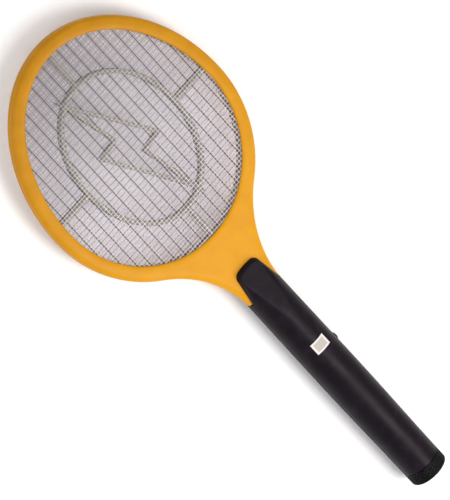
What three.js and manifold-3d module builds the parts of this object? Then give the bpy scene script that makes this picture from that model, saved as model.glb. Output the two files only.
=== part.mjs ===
// Electric fly swatter: an oval racket head with three wire nets on a round
// two-piece handle, which holds two cells, the step-up circuit, a push button
// on its side and a screw cap at its end.
//
// Millimetres. +Z is the front of the racket, +Y points to the tip of its head
// and +X is the side with the push button. The pieces are drawn about the axis
// of the handle; the group at the end lifts them so that z = 0 is the surface
// that the racket lies on.

import * as THREE from 'three';
import { mergeVertices } from 'three/addons/utils/BufferGeometryUtils.js';
import Module from 'manifold-3d';

const wasm = await Module();
wasm.setup();

// ---------------------------------------------------------------- dimensions

const LENGTH = 500;
const TIP_Y = LENGTH / 2;
const BUTT_Y = -LENGTH / 2;
const GAP = 0.3;                    // clearance between neighbouring pieces
const FAR = 400;                    // reach of a cutting tool past the part

// head
const HEAD_HALF_WIDTH = 98.6;
const HEAD_TOP_REACH = 125;         // from the widest line of the head to its tip
const HEAD_BOTTOM_REACH = 106;
const HEAD_CENTER_Y = TIP_Y - HEAD_TOP_REACH;
const FRAME_HALF_THICKNESS = 7;
const FRAME_EDGE_ROUND = 4.6;
const RIM_WIDTH = 11.6;
const SHOULDER_ANGLE = 0.95;        // where the oval turns into the neck
const SHOULDER_PULL = 48;           // how far the neck curve follows the oval
const NECK_HALF_WIDTH = 17.9;
const NECK_END_Y = -32.7;
const NECK_PULL = 3;                // how far the neck runs straight before it flares
const OPENING_BOTTOM_Y = 33.4;
const POCKET_DEPTH = 3;             // how far the nets reach into the rim
const POCKET_HALF_HEIGHT = 5.3;

// nets and spacers, by height above the middle plane
const GRID_HALF_THICKNESS = 0.4;
const SPACER_LOW = 0.7;
const SPACER_HIGH = 4.1;
const NET_LOW = 4.4;
const NET_HIGH = 4.9;
const SPACER_HOOP_WIDTH = 2.3;
const SPACER_BAR = 4;
const ZIGZAG_BAR = 3.2;
const ZIGZAG_CENTER_Y = 136.5;
const ZIGZAG_CORNERS = [
  [-18, 62], [25, -9.5], [6.5, -12.5], [17.5, -65.5], [-25, 9.5], [-6.5, 12.5],
];
const SPOKE_STEP = 0.15;            // the spokes lie this much under the ring's faces
const SPOKE_OVERLAP = 1.5;          // how far a spoke runs into the hoop
const OVAL_HALF_WIDTH = 52.6;
const OVAL_HALF_LENGTH = 69.5;
const OVAL_CENTER_Y = 134;

// neck cavity and stem
const CAVITY_HALF_HEIGHT = 4.8;
const CAVITY_SIDE = [[14, -28], [17, -15], [21, -2], [27, 9], [36, 23]];
const LEAD_SLOT_X = 10;
const LEAD_SLOT_LOW_Y = 20;
const LEAD_SLOT_HIGH_Y = 34;
const NECK_BOSS_X = 20;
const NECK_BOSS_Y = 12;
const NECK_BOSS_RADIUS = 4.2;
const STEM_HALF_WIDTH = 12;
const STEM_HALF_HEIGHT = 6;
const STEM_END_Y = -58;
const STEM_WALL = 2;
const STEM_OVERLAP = 1;             // how far the stem runs up into the neck
const STEM_BORE_OVERLAP = 6;        // how far its bore runs up into the cavity

// handle
const HANDLE_TOP_Y = -33;
const HANDLE_TOP_RADIUS = 17.9;
const HANDLE_BELLY_Y = -140;
const HANDLE_BELLY_RADIUS = 18.3;
const HANDLE_END_RADIUS = 17.4;
const HANDLE_WALL = 2.2;
const CAP_LENGTH = 12.4;
const CAP_MOUTH_Y = BUTT_Y + CAP_LENGTH;
const HANDLE_END_Y = CAP_MOUTH_Y + GAP;
const SPIGOT_RADIUS = 16.1;
const SPIGOT_END_Y = -246.6;
const BAY_RADIUS = 15;
const BULKHEAD_LOW_Y = -190;
const BULKHEAD_HIGH_Y = -188.2;
const TONGUE_TIP_Y = -3;
const TONGUE_TIP_HALF_WIDTH = 12.6;
const TONGUE_CORNER = 5;
const TONGUE_BOW = 0.6;             // how far the end of the tongue bows out
const TONGUE_ROOT_Y = HANDLE_TOP_Y - 6;
const FACET_START_Y = -55;
const FACET_SLOPE = 0.108;

// screws
const SCREW_UPPER_Y = -47;
const SCREW_LOWER_Y = -180;
const BOSS_RADIUS = 3.4;
const WELL_RADIUS = 3.1;
const WELL_FLOOR = -8.5;
const SCREW_HOLE = 1.5;
const HANDLE_HOLE_DEPTH = 8;
const BOSS_SINK = 0.4;              // a boss ends this much inside the middle of the wall
const WELL_WALL = 1.6;
const RIM_SCREW_INSET = 5.4;
const RIM_SCREW_ANGLES = [20, 55, 125, 160, 205, 335];

// button, lamp, board and cells
const BUTTON_Y = -106.5;
const BUTTON_RADIUS = 3.9;
const BUTTON_TIP_X = 19.6;
const LAMP_Y = -92;
const LAMP_RADIUS = 1.5;
const BOARD_TOP = -4;
const BOARD_THICKNESS = 1.6;
const BOARD_LOW_Y = -172;
const BOARD_HIGH_Y = -62;
const BOARD_HALF_WIDTH = 12.3;
const RAIL_INNER_X = 11.4;          // the board rests on two rails
const RAIL_OUTER_X = 15.2;
const RAIL_BOTTOM = -7.6;
const RAIL_SHORTER = 2;             // at each end of the board
const BOARD_NOTCH_X = 10.8;         // the board makes room there for the pressed button
const BUTTON_FLANGE_RADIUS = 5.3;
const BUTTON_FLANGE_X = 13;
const PLUNGER_RADIUS = 1.6;
const PLUNGER_LOW_X = 7.2;
const CELL_X = 7.4;
const CELL_RADIUS = 7.25;
const CELL_LOW_Y = -241.5;
const CELL_LENGTH = 50.5;
const LEAD_RADIUS = 0.8;
const BATTERY_LEAD_X = 9;
const TRANSFORMER_Y = -143;

const ROUND = 32;                   // sides of a large round piece
const EDGE_SEGMENTS = 3;            // of the rounding of a plate
const SMALL_ROUND = 12;             // sides of a small round piece

// ---------------------------------------------------------------- materials

const plastic = (color, roughness) =>
  new THREE.MeshStandardMaterial({ color, roughness, metalness: 0 });
const metal = (color, roughness) =>
  new THREE.MeshStandardMaterial({ color, roughness, metalness: 1 });

const AMBER = plastic(0xe29a1e, 0.4);
const BLACK = plastic(0x2c282d, 0.45);
const BEIGE = plastic(0xb9b0a0, 0.6);
const NET_WIRE = metal(0xcfcacd, 0.35);
const GRID_WIRE = metal(0x8f8a8d, 0.4);
const STEEL = metal(0xb5b8bc, 0.3);
const PAPER = plastic(0xf0eeea, 0.8);
const BOARD = plastic(0xb58a4a, 0.6);
const FERRITE = plastic(0x3a3a3c, 0.7);
const COPPER = metal(0xb4642e, 0.4);
const FILM = plastic(0x9a3b22, 0.4);
const EPOXY = plastic(0x1d1d1f, 0.5);
const RESISTOR = plastic(0xc9ad7c, 0.5);
const LAMP_RED = plastic(0xc8281e, 0.2);
const CELL_JACKET = plastic(0x2f5f8f, 0.35);
const LEAD_RED = plastic(0xb3261e, 0.5);
const LEAD_BLACK = plastic(0x202022, 0.5);
const LEAD_YELLOW = plastic(0xd0b030, 0.5);

// ---------------------------------------------------------------- solids

// Six times the volume inside a list of triangles, negative if they face in.
function signedVolume(positions, triangles) {
  const corner = (i) => new THREE.Vector3().fromArray(positions, 3 * i);
  let sum = 0;
  for (let i = 0; i < triangles.length; i += 3) {
    const [a, b, c] = [0, 1, 2].map((k) => corner(triangles[i + k]));
    sum += a.dot(b.cross(c));
  }
  return sum;
}

function toSolid(geometry) {
  geometry.deleteAttribute('normal');
  geometry.deleteAttribute('uv');
  const merged = mergeVertices(geometry, 1e-4);
  const positions = merged.attributes.position.array;
  const index = merged.index.array;
  const triangles = [];
  for (let i = 0; i < index.length; i += 3) {
    const [a, b, c] = [index[i], index[i + 1], index[i + 2]];
    if (a !== b && b !== c && c !== a) triangles.push(a, b, c);
  }
  if (signedVolume(positions, triangles) < 0) triangles.reverse();
  return new wasm.Manifold(new wasm.Mesh({
    numProp: 3,
    vertProperties: positions,
    triVerts: new Uint32Array(triangles),
  }));
}

function toMesh(name, solid, material) {
  const { vertProperties, triVerts } = solid.getMesh();
  const geometry = new THREE.BufferGeometry();
  geometry.setAttribute('position', new THREE.BufferAttribute(vertProperties, 3));
  geometry.setIndex(new THREE.BufferAttribute(triVerts, 1));
  geometry.computeVertexNormals();
  const mesh = new THREE.Mesh(geometry, material);
  mesh.name = name;
  return mesh;
}

const unite = (solids) => solids.reduce((whole, solid) => whole.add(solid));
const cutAll = (solid, tools) => tools.reduce((rest, tool) => rest.subtract(tool), solid);

function box([x0, x1], [y0, y1], [z0, z1]) {
  const geometry = new THREE.BoxGeometry(x1 - x0, y1 - y0, z1 - z0);
  geometry.translate((x0 + x1) / 2, (y0 + y1) / 2, (z0 + z1) / 2);
  return toSolid(geometry);
}

// A plate with the outline in the XY plane; its top and bottom edges are
// rounded by edge.
function plate(outline, z0, z1, edge = 0) {
  const geometry = new THREE.ExtrudeGeometry(new THREE.Shape(outline), {
    depth: z1 - z0 - 2 * edge,
    bevelEnabled: edge > 0,
    bevelThickness: edge,
    bevelSize: edge,
    bevelOffset: -edge,
    bevelSegments: EDGE_SEGMENTS,
    curveSegments: 1,
  });
  geometry.translate(0, 0, z0 + edge);
  return toSolid(geometry);
}

// A round solid about the Y axis, from [radius, y] pairs.
function turned(profile, sides = SMALL_ROUND) {
  const points = profile.map(([radius, y]) => new THREE.Vector2(radius, y));
  return toSolid(new THREE.LatheGeometry(points, sides));
}

// The same, with the closing line of a ring's profile added.
const turnedRing = (profile, sides) => turned([...profile, profile[0]], sides);

const cylinder = (radius, y0, y1, sides) =>
  turned([[0, y0], [radius, y0], [radius, y1], [0, y1]], sides);

const alongZ = (solid) => solid.rotate([90, 0, 0]);
const alongX = (solid) => solid.rotate([0, 0, -90]);

const post = (x, y, radius, z0, z1) =>
  alongZ(cylinder(radius, z0, z1)).translate([x, y, 0]);

const frontHalf = (solid) =>
  solid.intersect(box([-FAR, FAR], [-FAR, FAR], [GAP / 2, FAR]));
const rearHalf = (solid) =>
  solid.intersect(box([-FAR, FAR], [-FAR, FAR], [-FAR, -GAP / 2]));

// ---------------------------------------------------------------- outlines

function arc(halfWidth, reach, from, to, steps) {
  return Array.from({ length: steps }, (_, i) => {
    const angle = from + (to - from) * i / steps;
    return new THREE.Vector2(
      halfWidth * Math.cos(angle), HEAD_CENTER_Y + reach * Math.sin(angle));
  });
}

// The oval of the opening, grown all round.
function oval(grow, steps = 24) {
  const halfWidth = HEAD_HALF_WIDTH - RIM_WIDTH + grow;
  const top = HEAD_TOP_REACH - RIM_WIDTH + grow;
  const bottom = HEAD_CENTER_Y - OPENING_BOTTOM_Y + grow;
  return [
    ...arc(halfWidth, top, 0, Math.PI, steps),
    ...arc(halfWidth, bottom, Math.PI, 2 * Math.PI, steps),
  ];
}

function ellipse(halfWidth, halfLength, steps = 32) {
  const curve = new THREE.EllipseCurve(0, OVAL_CENTER_Y, halfWidth, halfLength);
  return curve.getPoints(steps).slice(0, -1);
}

// From the end of the neck up to the shoulder of the head, on the +X side.
function neckCurve() {
  const shoulder = new THREE.Vector2(
    HEAD_HALF_WIDTH * Math.cos(SHOULDER_ANGLE),
    HEAD_CENTER_Y - HEAD_BOTTOM_REACH * Math.sin(SHOULDER_ANGLE));
  const along = new THREE.Vector2(
    -HEAD_HALF_WIDTH * Math.sin(SHOULDER_ANGLE),
    -HEAD_BOTTOM_REACH * Math.cos(SHOULDER_ANGLE)).setLength(SHOULDER_PULL);
  return new THREE.CubicBezierCurve(
    new THREE.Vector2(NECK_HALF_WIDTH, NECK_END_Y),
    new THREE.Vector2(NECK_HALF_WIDTH, NECK_END_Y + NECK_PULL),
    shoulder.clone().add(along),
    shoulder).getPoints(9).slice(0, -1);
}

function headOutline() {
  const right = neckCurve();
  const left = right.map((p) => new THREE.Vector2(-p.x, p.y)).reverse();
  return [
    ...right,
    ...arc(HEAD_HALF_WIDTH, HEAD_BOTTOM_REACH, -SHOULDER_ANGLE, 0, 6),
    ...arc(HEAD_HALF_WIDTH, HEAD_TOP_REACH, 0, Math.PI, 28),
    ...arc(HEAD_HALF_WIDTH, HEAD_BOTTOM_REACH, Math.PI, Math.PI + SHOULDER_ANGLE, 6),
    new THREE.Vector2(
      -HEAD_HALF_WIDTH * Math.cos(SHOULDER_ANGLE),
      HEAD_CENTER_Y - HEAD_BOTTOM_REACH * Math.sin(SHOULDER_ANGLE)),
    ...left,
  ];
}

// ---------------------------------------------------------------- frames

function rimScrewPlace(degrees) {
  const angle = THREE.MathUtils.degToRad(degrees);
  const reach = Math.sin(angle) > 0 ? HEAD_TOP_REACH : HEAD_BOTTOM_REACH - 1;
  return [
    (HEAD_HALF_WIDTH - RIM_SCREW_INSET) * Math.cos(angle),
    HEAD_CENTER_Y + (reach - RIM_SCREW_INSET) * Math.sin(angle),
  ];
}

const NECK_SCREWS = [[-NECK_BOSS_X, NECK_BOSS_Y], [NECK_BOSS_X, NECK_BOSS_Y]];
const FRAME_SCREWS = [...RIM_SCREW_ANGLES.map(rimScrewPlace), ...NECK_SCREWS];
const FRAME_WELL_RADIUS = 2.3;
const FRAME_WELL_FLOOR = -4.6;
const FRAME_HOLE_TOP = 4.4;

// The hollow of the neck, which the leads run through.
function neckCavity() {
  const outline = [
    ...CAVITY_SIDE.map(([x, y]) => new THREE.Vector2(x, y)),
    ...CAVITY_SIDE.map(([x, y]) => new THREE.Vector2(-x, y)).reverse(),
  ];
  const hollow = plate(outline, -CAVITY_HALF_HEIGHT, CAVITY_HALF_HEIGHT);
  const bosses = NECK_SCREWS.map(([x, y]) =>
    post(x, y, NECK_BOSS_RADIUS, -FRAME_HALF_THICKNESS, FRAME_HALF_THICKNESS));
  return cutAll(hollow, bosses);
}

function stem() {
  const inner = STEM_HALF_WIDTH - STEM_WALL;
  const innerHeight = STEM_HALF_HEIGHT - STEM_WALL;
  const outside = box([-STEM_HALF_WIDTH, STEM_HALF_WIDTH],
    [STEM_END_Y, NECK_END_Y + STEM_OVERLAP], [-STEM_HALF_HEIGHT, STEM_HALF_HEIGHT]);
  const inside = box([-inner, inner], [STEM_END_Y - 1, NECK_END_Y + STEM_BORE_OVERLAP],
    [-innerHeight, innerHeight]);
  const bossHole = post(0, SCREW_UPPER_Y, BOSS_RADIUS + GAP,
    -STEM_HALF_HEIGHT - 1, STEM_HALF_HEIGHT + 1);
  return { outside, cuts: [inside, bossHole] };
}

function frame() {
  const { outside, cuts } = stem();
  const body = plate(headOutline(), -FRAME_HALF_THICKNESS, FRAME_HALF_THICKNESS,
    FRAME_EDGE_ROUND).add(outside);
  const leadSlot = box([-LEAD_SLOT_X, LEAD_SLOT_X], [LEAD_SLOT_LOW_Y, LEAD_SLOT_HIGH_Y],
    [-POCKET_HALF_HEIGHT, POCKET_HALF_HEIGHT]);
  return cutAll(body, [
    plate(oval(0), -FAR, FAR),
    plate(oval(POCKET_DEPTH), -POCKET_HALF_HEIGHT, POCKET_HALF_HEIGHT),
    neckCavity(),
    leadSlot,
    ...cuts,
    ...FRAME_SCREWS.map(([x, y]) =>
      post(x, y, SCREW_HOLE, FRAME_WELL_FLOOR - 1, FRAME_HOLE_TOP)),
    ...FRAME_SCREWS.map(([x, y]) =>
      post(x, y, FRAME_WELL_RADIUS, -FRAME_HALF_THICKNESS - 1, FRAME_WELL_FLOOR)),
  ]);
}

// ---------------------------------------------------------------- nets

const netPlate = (z0, z1) => plate(oval(POCKET_DEPTH - GAP), z0, z1);

// A closed outline moved sideways by offset, with its corners kept sharp.
function offsetOutline(points, offset) {
  const count = points.length;
  return points.map((point, i) => {
    const before = point.clone().sub(points[(i + count - 1) % count]).normalize();
    const after = points[(i + 1) % count].clone().sub(point).normalize();
    const miter = new THREE.Vector2(before.y + after.y, -before.x - after.x);
    return point.clone().addScaledVector(miter, offset / (1 + before.dot(after)));
  });
}

// The outer and the inner edge of the zigzag inside the oval ring.
function zigzag() {
  const corners = ZIGZAG_CORNERS.map(([x, y]) => new THREE.Vector2(x, ZIGZAG_CENTER_Y + y));
  return [-1, 1].map((side) => offsetOutline(corners, side * ZIGZAG_BAR / 2));
}

function spacer() {
  const band = (outer, inner, step) => plate(outer, SPACER_LOW + step, SPACER_HIGH - step)
    .subtract(plate(inner, SPACER_LOW - 1, SPACER_HIGH + 1));
  const bar = (x, y) => box(x, y, [SPACER_LOW + SPOKE_STEP, SPACER_HIGH - SPOKE_STEP]);
  const hoopOuter = POCKET_DEPTH - GAP;
  const half = SPACER_BAR / 2;
  const spokeX = HEAD_HALF_WIDTH - RIM_WIDTH + SPOKE_OVERLAP;
  const top = TIP_Y - RIM_WIDTH + SPOKE_OVERLAP;
  const bottom = OPENING_BOTTOM_Y - SPOKE_OVERLAP;
  const level = [OVAL_CENTER_Y - half, OVAL_CENTER_Y + half];
  const [zigzagOuter, zigzagInner] = zigzag();
  const withinRing = plate(ellipse(OVAL_HALF_WIDTH, OVAL_HALF_LENGTH), -FAR, FAR);
  return unite([
    band(oval(hoopOuter), oval(hoopOuter - SPACER_HOOP_WIDTH), 0),
    band(ellipse(OVAL_HALF_WIDTH + half, OVAL_HALF_LENGTH + half),
      ellipse(OVAL_HALF_WIDTH - half, OVAL_HALF_LENGTH - half), 0),
    bar([-spokeX, -OVAL_HALF_WIDTH], level),
    bar([OVAL_HALF_WIDTH, spokeX], level),
    bar([-half, half], [OVAL_CENTER_Y + OVAL_HALF_LENGTH, top]),
    bar([-half, half], [bottom, OVAL_CENTER_Y - OVAL_HALF_LENGTH]),
    band(zigzagOuter, zigzagInner, 2 * SPOKE_STEP).intersect(withinRing),
  ]);
}

// ---------------------------------------------------------------- handle

// A slim barrel: it swells a little to the belly and draws in to the cap.
function handleRadius(y) {
  const toEnd = (HANDLE_BELLY_Y - y) / (HANDLE_BELLY_Y - HANDLE_END_Y);
  const toTop = (y - HANDLE_BELLY_Y) / (HANDLE_TOP_Y - HANDLE_BELLY_Y);
  const ease = (t) => t * t * (3 - 2 * t);
  return y < HANDLE_BELLY_Y
    ? HANDLE_BELLY_RADIUS + (HANDLE_END_RADIUS - HANDLE_BELLY_RADIUS) * ease(toEnd)
    : HANDLE_BELLY_RADIUS + (HANDLE_TOP_RADIUS - HANDLE_BELLY_RADIUS) * ease(Math.min(toTop, 1));
}

function barrel(y0, y1, inset, steps) {
  const rings = Array.from({ length: steps + 1 }, (_, i) => {
    const y = y0 + (y1 - y0) * i / steps;
    return [handleRadius(y) - inset, y];
  });
  return turned([[0, y0], ...rings, [0, y1]], ROUND);
}

// The outline of the tongue that laps over the neck, drawn in by inset.
function tongueOutline(inset) {
  const tip = TONGUE_TIP_Y - inset;
  const half = TONGUE_TIP_HALF_WIDTH - inset;
  const base = HANDLE_TOP_RADIUS - inset + 0.2;
  const shape = new THREE.Shape();
  const shoulder = tip - TONGUE_BOW;
  shape.moveTo(base, TONGUE_ROOT_Y);
  shape.lineTo(base, HANDLE_TOP_Y);
  shape.lineTo(half, tip - TONGUE_CORNER);
  shape.quadraticCurveTo(half - TONGUE_BOW, tip - 1, half - TONGUE_CORNER, shoulder);
  shape.quadraticCurveTo(0, tip + TONGUE_BOW, TONGUE_CORNER - half, shoulder);
  shape.quadraticCurveTo(TONGUE_BOW - half, tip - 1, -half, tip - TONGUE_CORNER);
  shape.lineTo(-base, HANDLE_TOP_Y);
  shape.lineTo(-base, TONGUE_ROOT_Y);
  return shape.getPoints(3);
}

// Everything above the sloping thumb facet, drawn in by inset.
function aboveFacet(inset) {
  const tool = new THREE.BoxGeometry(80, FAR, 80);
  tool.translate(0, FAR / 2, 40);
  tool.rotateX(-Math.atan(FACET_SLOPE));
  tool.translate(0, FACET_START_Y, handleRadius(FACET_START_Y) - inset);
  return toSolid(tool);
}

// Both tongues and the barrel as one body about the axis, drawn in by inset.
function handleBody(inset) {
  const neckLevel = FRAME_HALF_THICKNESS + GAP;
  const half = plate(tongueOutline(inset), neckLevel, FAR / 4)
    .intersect(barrel(HANDLE_TOP_Y - 5, TIP_Y, inset, 2))
    .subtract(aboveFacet(inset));
  const start = inset > 0 ? BULKHEAD_HIGH_Y : HANDLE_END_Y;
  const end = inset > 0 ? HANDLE_TOP_Y - 4 : HANDLE_TOP_Y;
  const facets = aboveFacet(inset);
  return barrel(start, end, inset, inset > 0 ? 5 : 10)
    .subtract(facets).subtract(facets.mirror([0, 0, 1]))
    .add(half).add(half.mirror([0, 0, 1]));
}

function handleShell() {
  const spigot = cylinder(SPIGOT_RADIUS, SPIGOT_END_Y, HANDLE_END_Y + 3, ROUND);
  const bay = cylinder(BAY_RADIUS, -FAR, BULKHEAD_LOW_Y, ROUND);
  const slot = box(
    [-STEM_HALF_WIDTH - GAP, STEM_HALF_WIDTH + GAP], [TONGUE_ROOT_Y, 0],
    [-STEM_HALF_HEIGHT - GAP, STEM_HALF_HEIGHT + GAP]);
  const leadHoles = [-BATTERY_LEAD_X, BATTERY_LEAD_X].map((x) => cylinder(
    LEAD_RADIUS + 2 * GAP, BULKHEAD_LOW_Y - 1, BULKHEAD_HIGH_Y + 1).translate([x, 0, 0]));
  return cutAll(handleBody(0).add(spigot), [
    bay, handleBody(HANDLE_WALL), slot, ...leadHoles,
    alongX(cylinder(BUTTON_RADIUS + GAP, 0, 30)).translate([0, BUTTON_Y, 0]),
    alongX(cylinder(LAMP_RADIUS + GAP, 0, 30)).translate([0, LAMP_Y, 0]),
  ]);
}

const HANDLE_SCREWS = [SCREW_UPPER_Y, SCREW_LOWER_Y];
const BOSS_END = HANDLE_TOP_RADIUS - HANDLE_WALL / 2 - BOSS_SINK;

function handleFront() {
  const bosses = HANDLE_SCREWS.map((y) => post(0, y, BOSS_RADIUS, GAP / 2, BOSS_END));
  const holes = HANDLE_SCREWS.map((y) => post(0, y, SCREW_HOLE, 0, HANDLE_HOLE_DEPTH));
  return cutAll(unite([frontHalf(handleShell()), ...bosses]), holes);
}

function handleRear() {
  const bosses = HANDLE_SCREWS.flatMap((y) => [
    post(0, y, BOSS_RADIUS, -BOSS_END, -GAP / 2),
    post(0, y, WELL_RADIUS + WELL_WALL, -BOSS_END, -STEM_HALF_HEIGHT - 2 * GAP),
  ]);
  const railY = [BOARD_LOW_Y + RAIL_SHORTER, BOARD_HIGH_Y - RAIL_SHORTER];
  const railZ = [RAIL_BOTTOM, BOARD_TOP - BOARD_THICKNESS - GAP];
  const rails = [[-RAIL_OUTER_X, -RAIL_INNER_X], [RAIL_INNER_X, RAIL_OUTER_X]]
    .map((railX) => box(railX, railY, railZ));
  const inside = barrel(BULKHEAD_HIGH_Y, HANDLE_TOP_Y - 4, HANDLE_WALL / 2, 5);
  return cutAll(unite([
    rearHalf(handleShell()), ...bosses, ...rails.map((rail) => rail.intersect(inside)),
  ]), [
    ...HANDLE_SCREWS.map((y) => post(0, y, SCREW_HOLE, WELL_FLOOR - 1, 1)),
    ...HANDLE_SCREWS.map((y) => post(0, y, WELL_RADIUS, -FAR / 4, WELL_FLOOR)),
  ]);
}

const LABEL_Y = -95;
const LABEL_HALF = [7.2, 5.4];

// A thin sticker that follows the round of the handle.
function label() {
  const low = handleRadius(LABEL_Y) + GAP;
  const y0 = LABEL_Y - LABEL_HALF[1];
  const y1 = LABEL_Y + LABEL_HALF[1];
  return turnedRing([[low, y0], [low + 0.2, y0], [low + 0.2, y1], [low, y1]], 72)
    .intersect(box([-LABEL_HALF[0], LABEL_HALF[0]], [y0 - 1, y1 + 1], [0, 40]));
}

// ---------------------------------------------------------------- fasteners

// A pan-head screw along +Z, with the outside of its head at z = 0.
function screw(headRadius, headHeight, length) {
  const shank = SCREW_HOLE - GAP;
  return alongZ(turned([
    [0, 0], [headRadius * 0.7, 0], [headRadius, headHeight * 0.5], [headRadius, headHeight],
    [shank, headHeight], [shank, length - 1.5], [0, length],
  ], 8));
}

// ---------------------------------------------------------------- button

function pushButton() {
  return alongX(turned([
    [0, BUTTON_FLANGE_X], [BUTTON_FLANGE_RADIUS, BUTTON_FLANGE_X],
    [BUTTON_FLANGE_RADIUS, BUTTON_FLANGE_X + 1],
    [BUTTON_RADIUS, BUTTON_FLANGE_X + 1], [BUTTON_RADIUS, 18.2],
    [BUTTON_RADIUS * 0.85, 19.1], [BUTTON_RADIUS * 0.45, 19.5], [0, BUTTON_TIP_X],
  ], 16));
}

const switchPlunger = () =>
  alongX(cylinder(PLUNGER_RADIUS, PLUNGER_LOW_X, BUTTON_FLANGE_X - GAP));

function switchBody() {
  return box([3.4, 9.3], [-3.5, 3.5], [BOARD_TOP + GAP, 3.4])
    .subtract(alongX(cylinder(PLUNGER_RADIUS + GAP, PLUNGER_LOW_X - 2, 10)));
}

function lamp() {
  return alongX(turned([
    [0, 9], [1.9, 9], [1.9, 10], [LAMP_RADIUS, 10], [LAMP_RADIUS, 16.6], [1.1, 17.6], [0, 18],
  ], SMALL_ROUND));
}

// ---------------------------------------------------------------- circuit

// A long board with a notch in its edge beside the button.
function board() {
  const notchHalf = BUTTON_FLANGE_RADIUS + 0.7;
  const whole = box([-BOARD_HALF_WIDTH, BOARD_HALF_WIDTH], [BOARD_LOW_Y, BOARD_HIGH_Y],
    [BOARD_TOP - BOARD_THICKNESS, BOARD_TOP]);
  return whole.subtract(box([BOARD_NOTCH_X, BOARD_HALF_WIDTH + 1],
    [BUTTON_Y - notchHalf, BUTTON_Y + notchHalf], [BOARD_TOP - 9, BOARD_TOP + 9]));
}

// A double-window core, lying so that the winding stands round its middle leg.
function transformerCore() {
  const windows = [[-5.8, -2.4], [2.4, 5.8]].map((x) => box(x, [-4.6, 4.6], [-9, 9]));
  return cutAll(box([-8.4, 8.4], [-7, 7], [-1.2, 4.8]), windows);
}

function transformerWinding() {
  const outer = box([-5.4, 5.4], [-4.2, 4.2], [BOARD_TOP + GAP, 7.4]);
  return outer.subtract(box([-2.8, 2.8], [-9, 9], [-1.6, 5.2]));
}

const capacitor = () => plate([
  [-5, -12], [5, -12], [5, 12], [-5, 12],
].map(([x, y]) => new THREE.Vector2(x, y)), BOARD_TOP + GAP, 8.2, 1);

function transistor() {
  return alongZ(cylinder(2.4, BOARD_TOP + 0.9, 1.6))
    .intersect(box([-3, 3], [-1.2, 3], [-9, 9]));
}

const bead = (radius, length) => turned([
  [0, 0], [radius * 0.75, 0], [radius, 0.6], [radius, length - 0.6],
  [radius * 0.75, length], [0, length],
], 8);

// ---------------------------------------------------------------- cells, contacts

function cell() {
  const body = CELL_LENGTH - 1;
  return turned([
    [0, 0], [CELL_RADIUS - 0.4, 0], [CELL_RADIUS, 0.4], [CELL_RADIUS, body - 0.6],
    [CELL_RADIUS - 0.6, body], [2.75, body], [2.75, CELL_LENGTH], [0, CELL_LENGTH],
  ], 20);
}

const contactPlate = () => box([-5, 5], [-0.2, 0.2], [-5, 5]);

const coil = () => turnedRing([[5, 0], [5.8, 0], [3.8, 5], [3, 5]], 12);

function batteryCap() {
  const outer = HANDLE_END_RADIUS;
  const inner = SPIGOT_RADIUS + GAP;
  const floor = BUTT_Y + 2.1;
  return turned([
    [0, BUTT_Y], [outer - 3, BUTT_Y], [outer - 0.9, BUTT_Y + 0.9], [outer, BUTT_Y + 3],
    [outer, CAP_MOUTH_Y], [inner, CAP_MOUTH_Y], [inner, floor], [0, floor],
  ], ROUND);
}

const capContact = () => cylinder(13.5, BUTT_Y + 2.4, BUTT_Y + 3, 24);

// ---------------------------------------------------------------- leads

function lead(points) {
  const path = new THREE.CatmullRomCurve3(points.map((p) => new THREE.Vector3(...p)));
  const section = new THREE.EllipseCurve(0, 0, LEAD_RADIUS, LEAD_RADIUS);
  const outline = new THREE.Shape(section.getPoints(8).slice(0, -1));
  const steps = 2 * (points.length - 1);
  return toSolid(new THREE.ExtrudeGeometry(outline, {
    steps, extrudePath: path, curveSegments: 1,
  }));
}

// From the top of the board through the stem and the neck to the edge of a net.
function netLead(x, endX, z) {
  const end = OPENING_BOTTOM_Y - POCKET_DEPTH;
  return lead([
    [x, -68, BOARD_TOP + 1.1], [x, -62, BOARD_TOP + 1.6], [x, -56, -0.6], [x, -40, 0],
    [x, -5, 0], [endX, 14, z / 2], [endX, end - 5, z], [endX, end, z],
  ]);
}

function batteryLead(x) {
  return lead([
    [x, BULKHEAD_LOW_Y, 0], [x, BULKHEAD_HIGH_Y + 2, 0], [x, -178, -1.4],
    [x - Math.sign(x), -172, BOARD_TOP + 1.3], [x - Math.sign(x), -168, BOARD_TOP + 1.1],
  ]);
}

// ---------------------------------------------------------------- assembly

function placed(mesh, x, y, z = 0) {
  mesh.position.set(x, y, z);
  return mesh;
}

function head() {
  const group = new THREE.Group();
  const whole = frame();
  group.add(
    toMesh('front_frame', frontHalf(whole), AMBER),
    toMesh('rear_frame', rearHalf(whole), AMBER),
    toMesh('front_net', netPlate(NET_LOW, NET_HIGH), NET_WIRE),
    toMesh('rear_net', netPlate(-NET_HIGH, -NET_LOW), NET_WIRE),
    toMesh('inner_grid', netPlate(-GRID_HALF_THICKNESS, GRID_HALF_THICKNESS), GRID_WIRE),
    toMesh('front_spacer', spacer(), BEIGE),
    toMesh('rear_spacer', spacer().mirror([0, 0, 1]), BEIGE),
  );
  const frameScrew = () => screw(2, 1.4, FRAME_HOLE_TOP - FRAME_WELL_FLOOR + 1);
  const screwZ = FRAME_WELL_FLOOR - GAP - 1.4;
  FRAME_SCREWS.forEach(([x, y], i) => {
    const rim = i < RIM_SCREW_ANGLES.length;
    const name = rim ? `rim_screw_${i + 1}` : `neck_screw_${x < 0 ? 'left' : 'right'}`;
    group.add(placed(toMesh(name, frameScrew(), STEEL), x, y, screwZ));
  });
  return group;
}

function handle() {
  const group = new THREE.Group();
  group.add(
    toMesh('handle_front', handleFront(), BLACK),
    toMesh('handle_rear', handleRear(), BLACK),
    toMesh('label', label(), PAPER),
  );
  const handleScrew = () => screw(2.8, 2, 17);
  const screwZ = WELL_FLOOR - GAP - 2;
  group.add(
    placed(toMesh('handle_screw_upper', handleScrew(), STEEL), 0, SCREW_UPPER_Y, screwZ),
    placed(toMesh('handle_screw_lower', handleScrew(), STEEL), 0, SCREW_LOWER_Y, screwZ),
  );
  return group;
}

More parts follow.
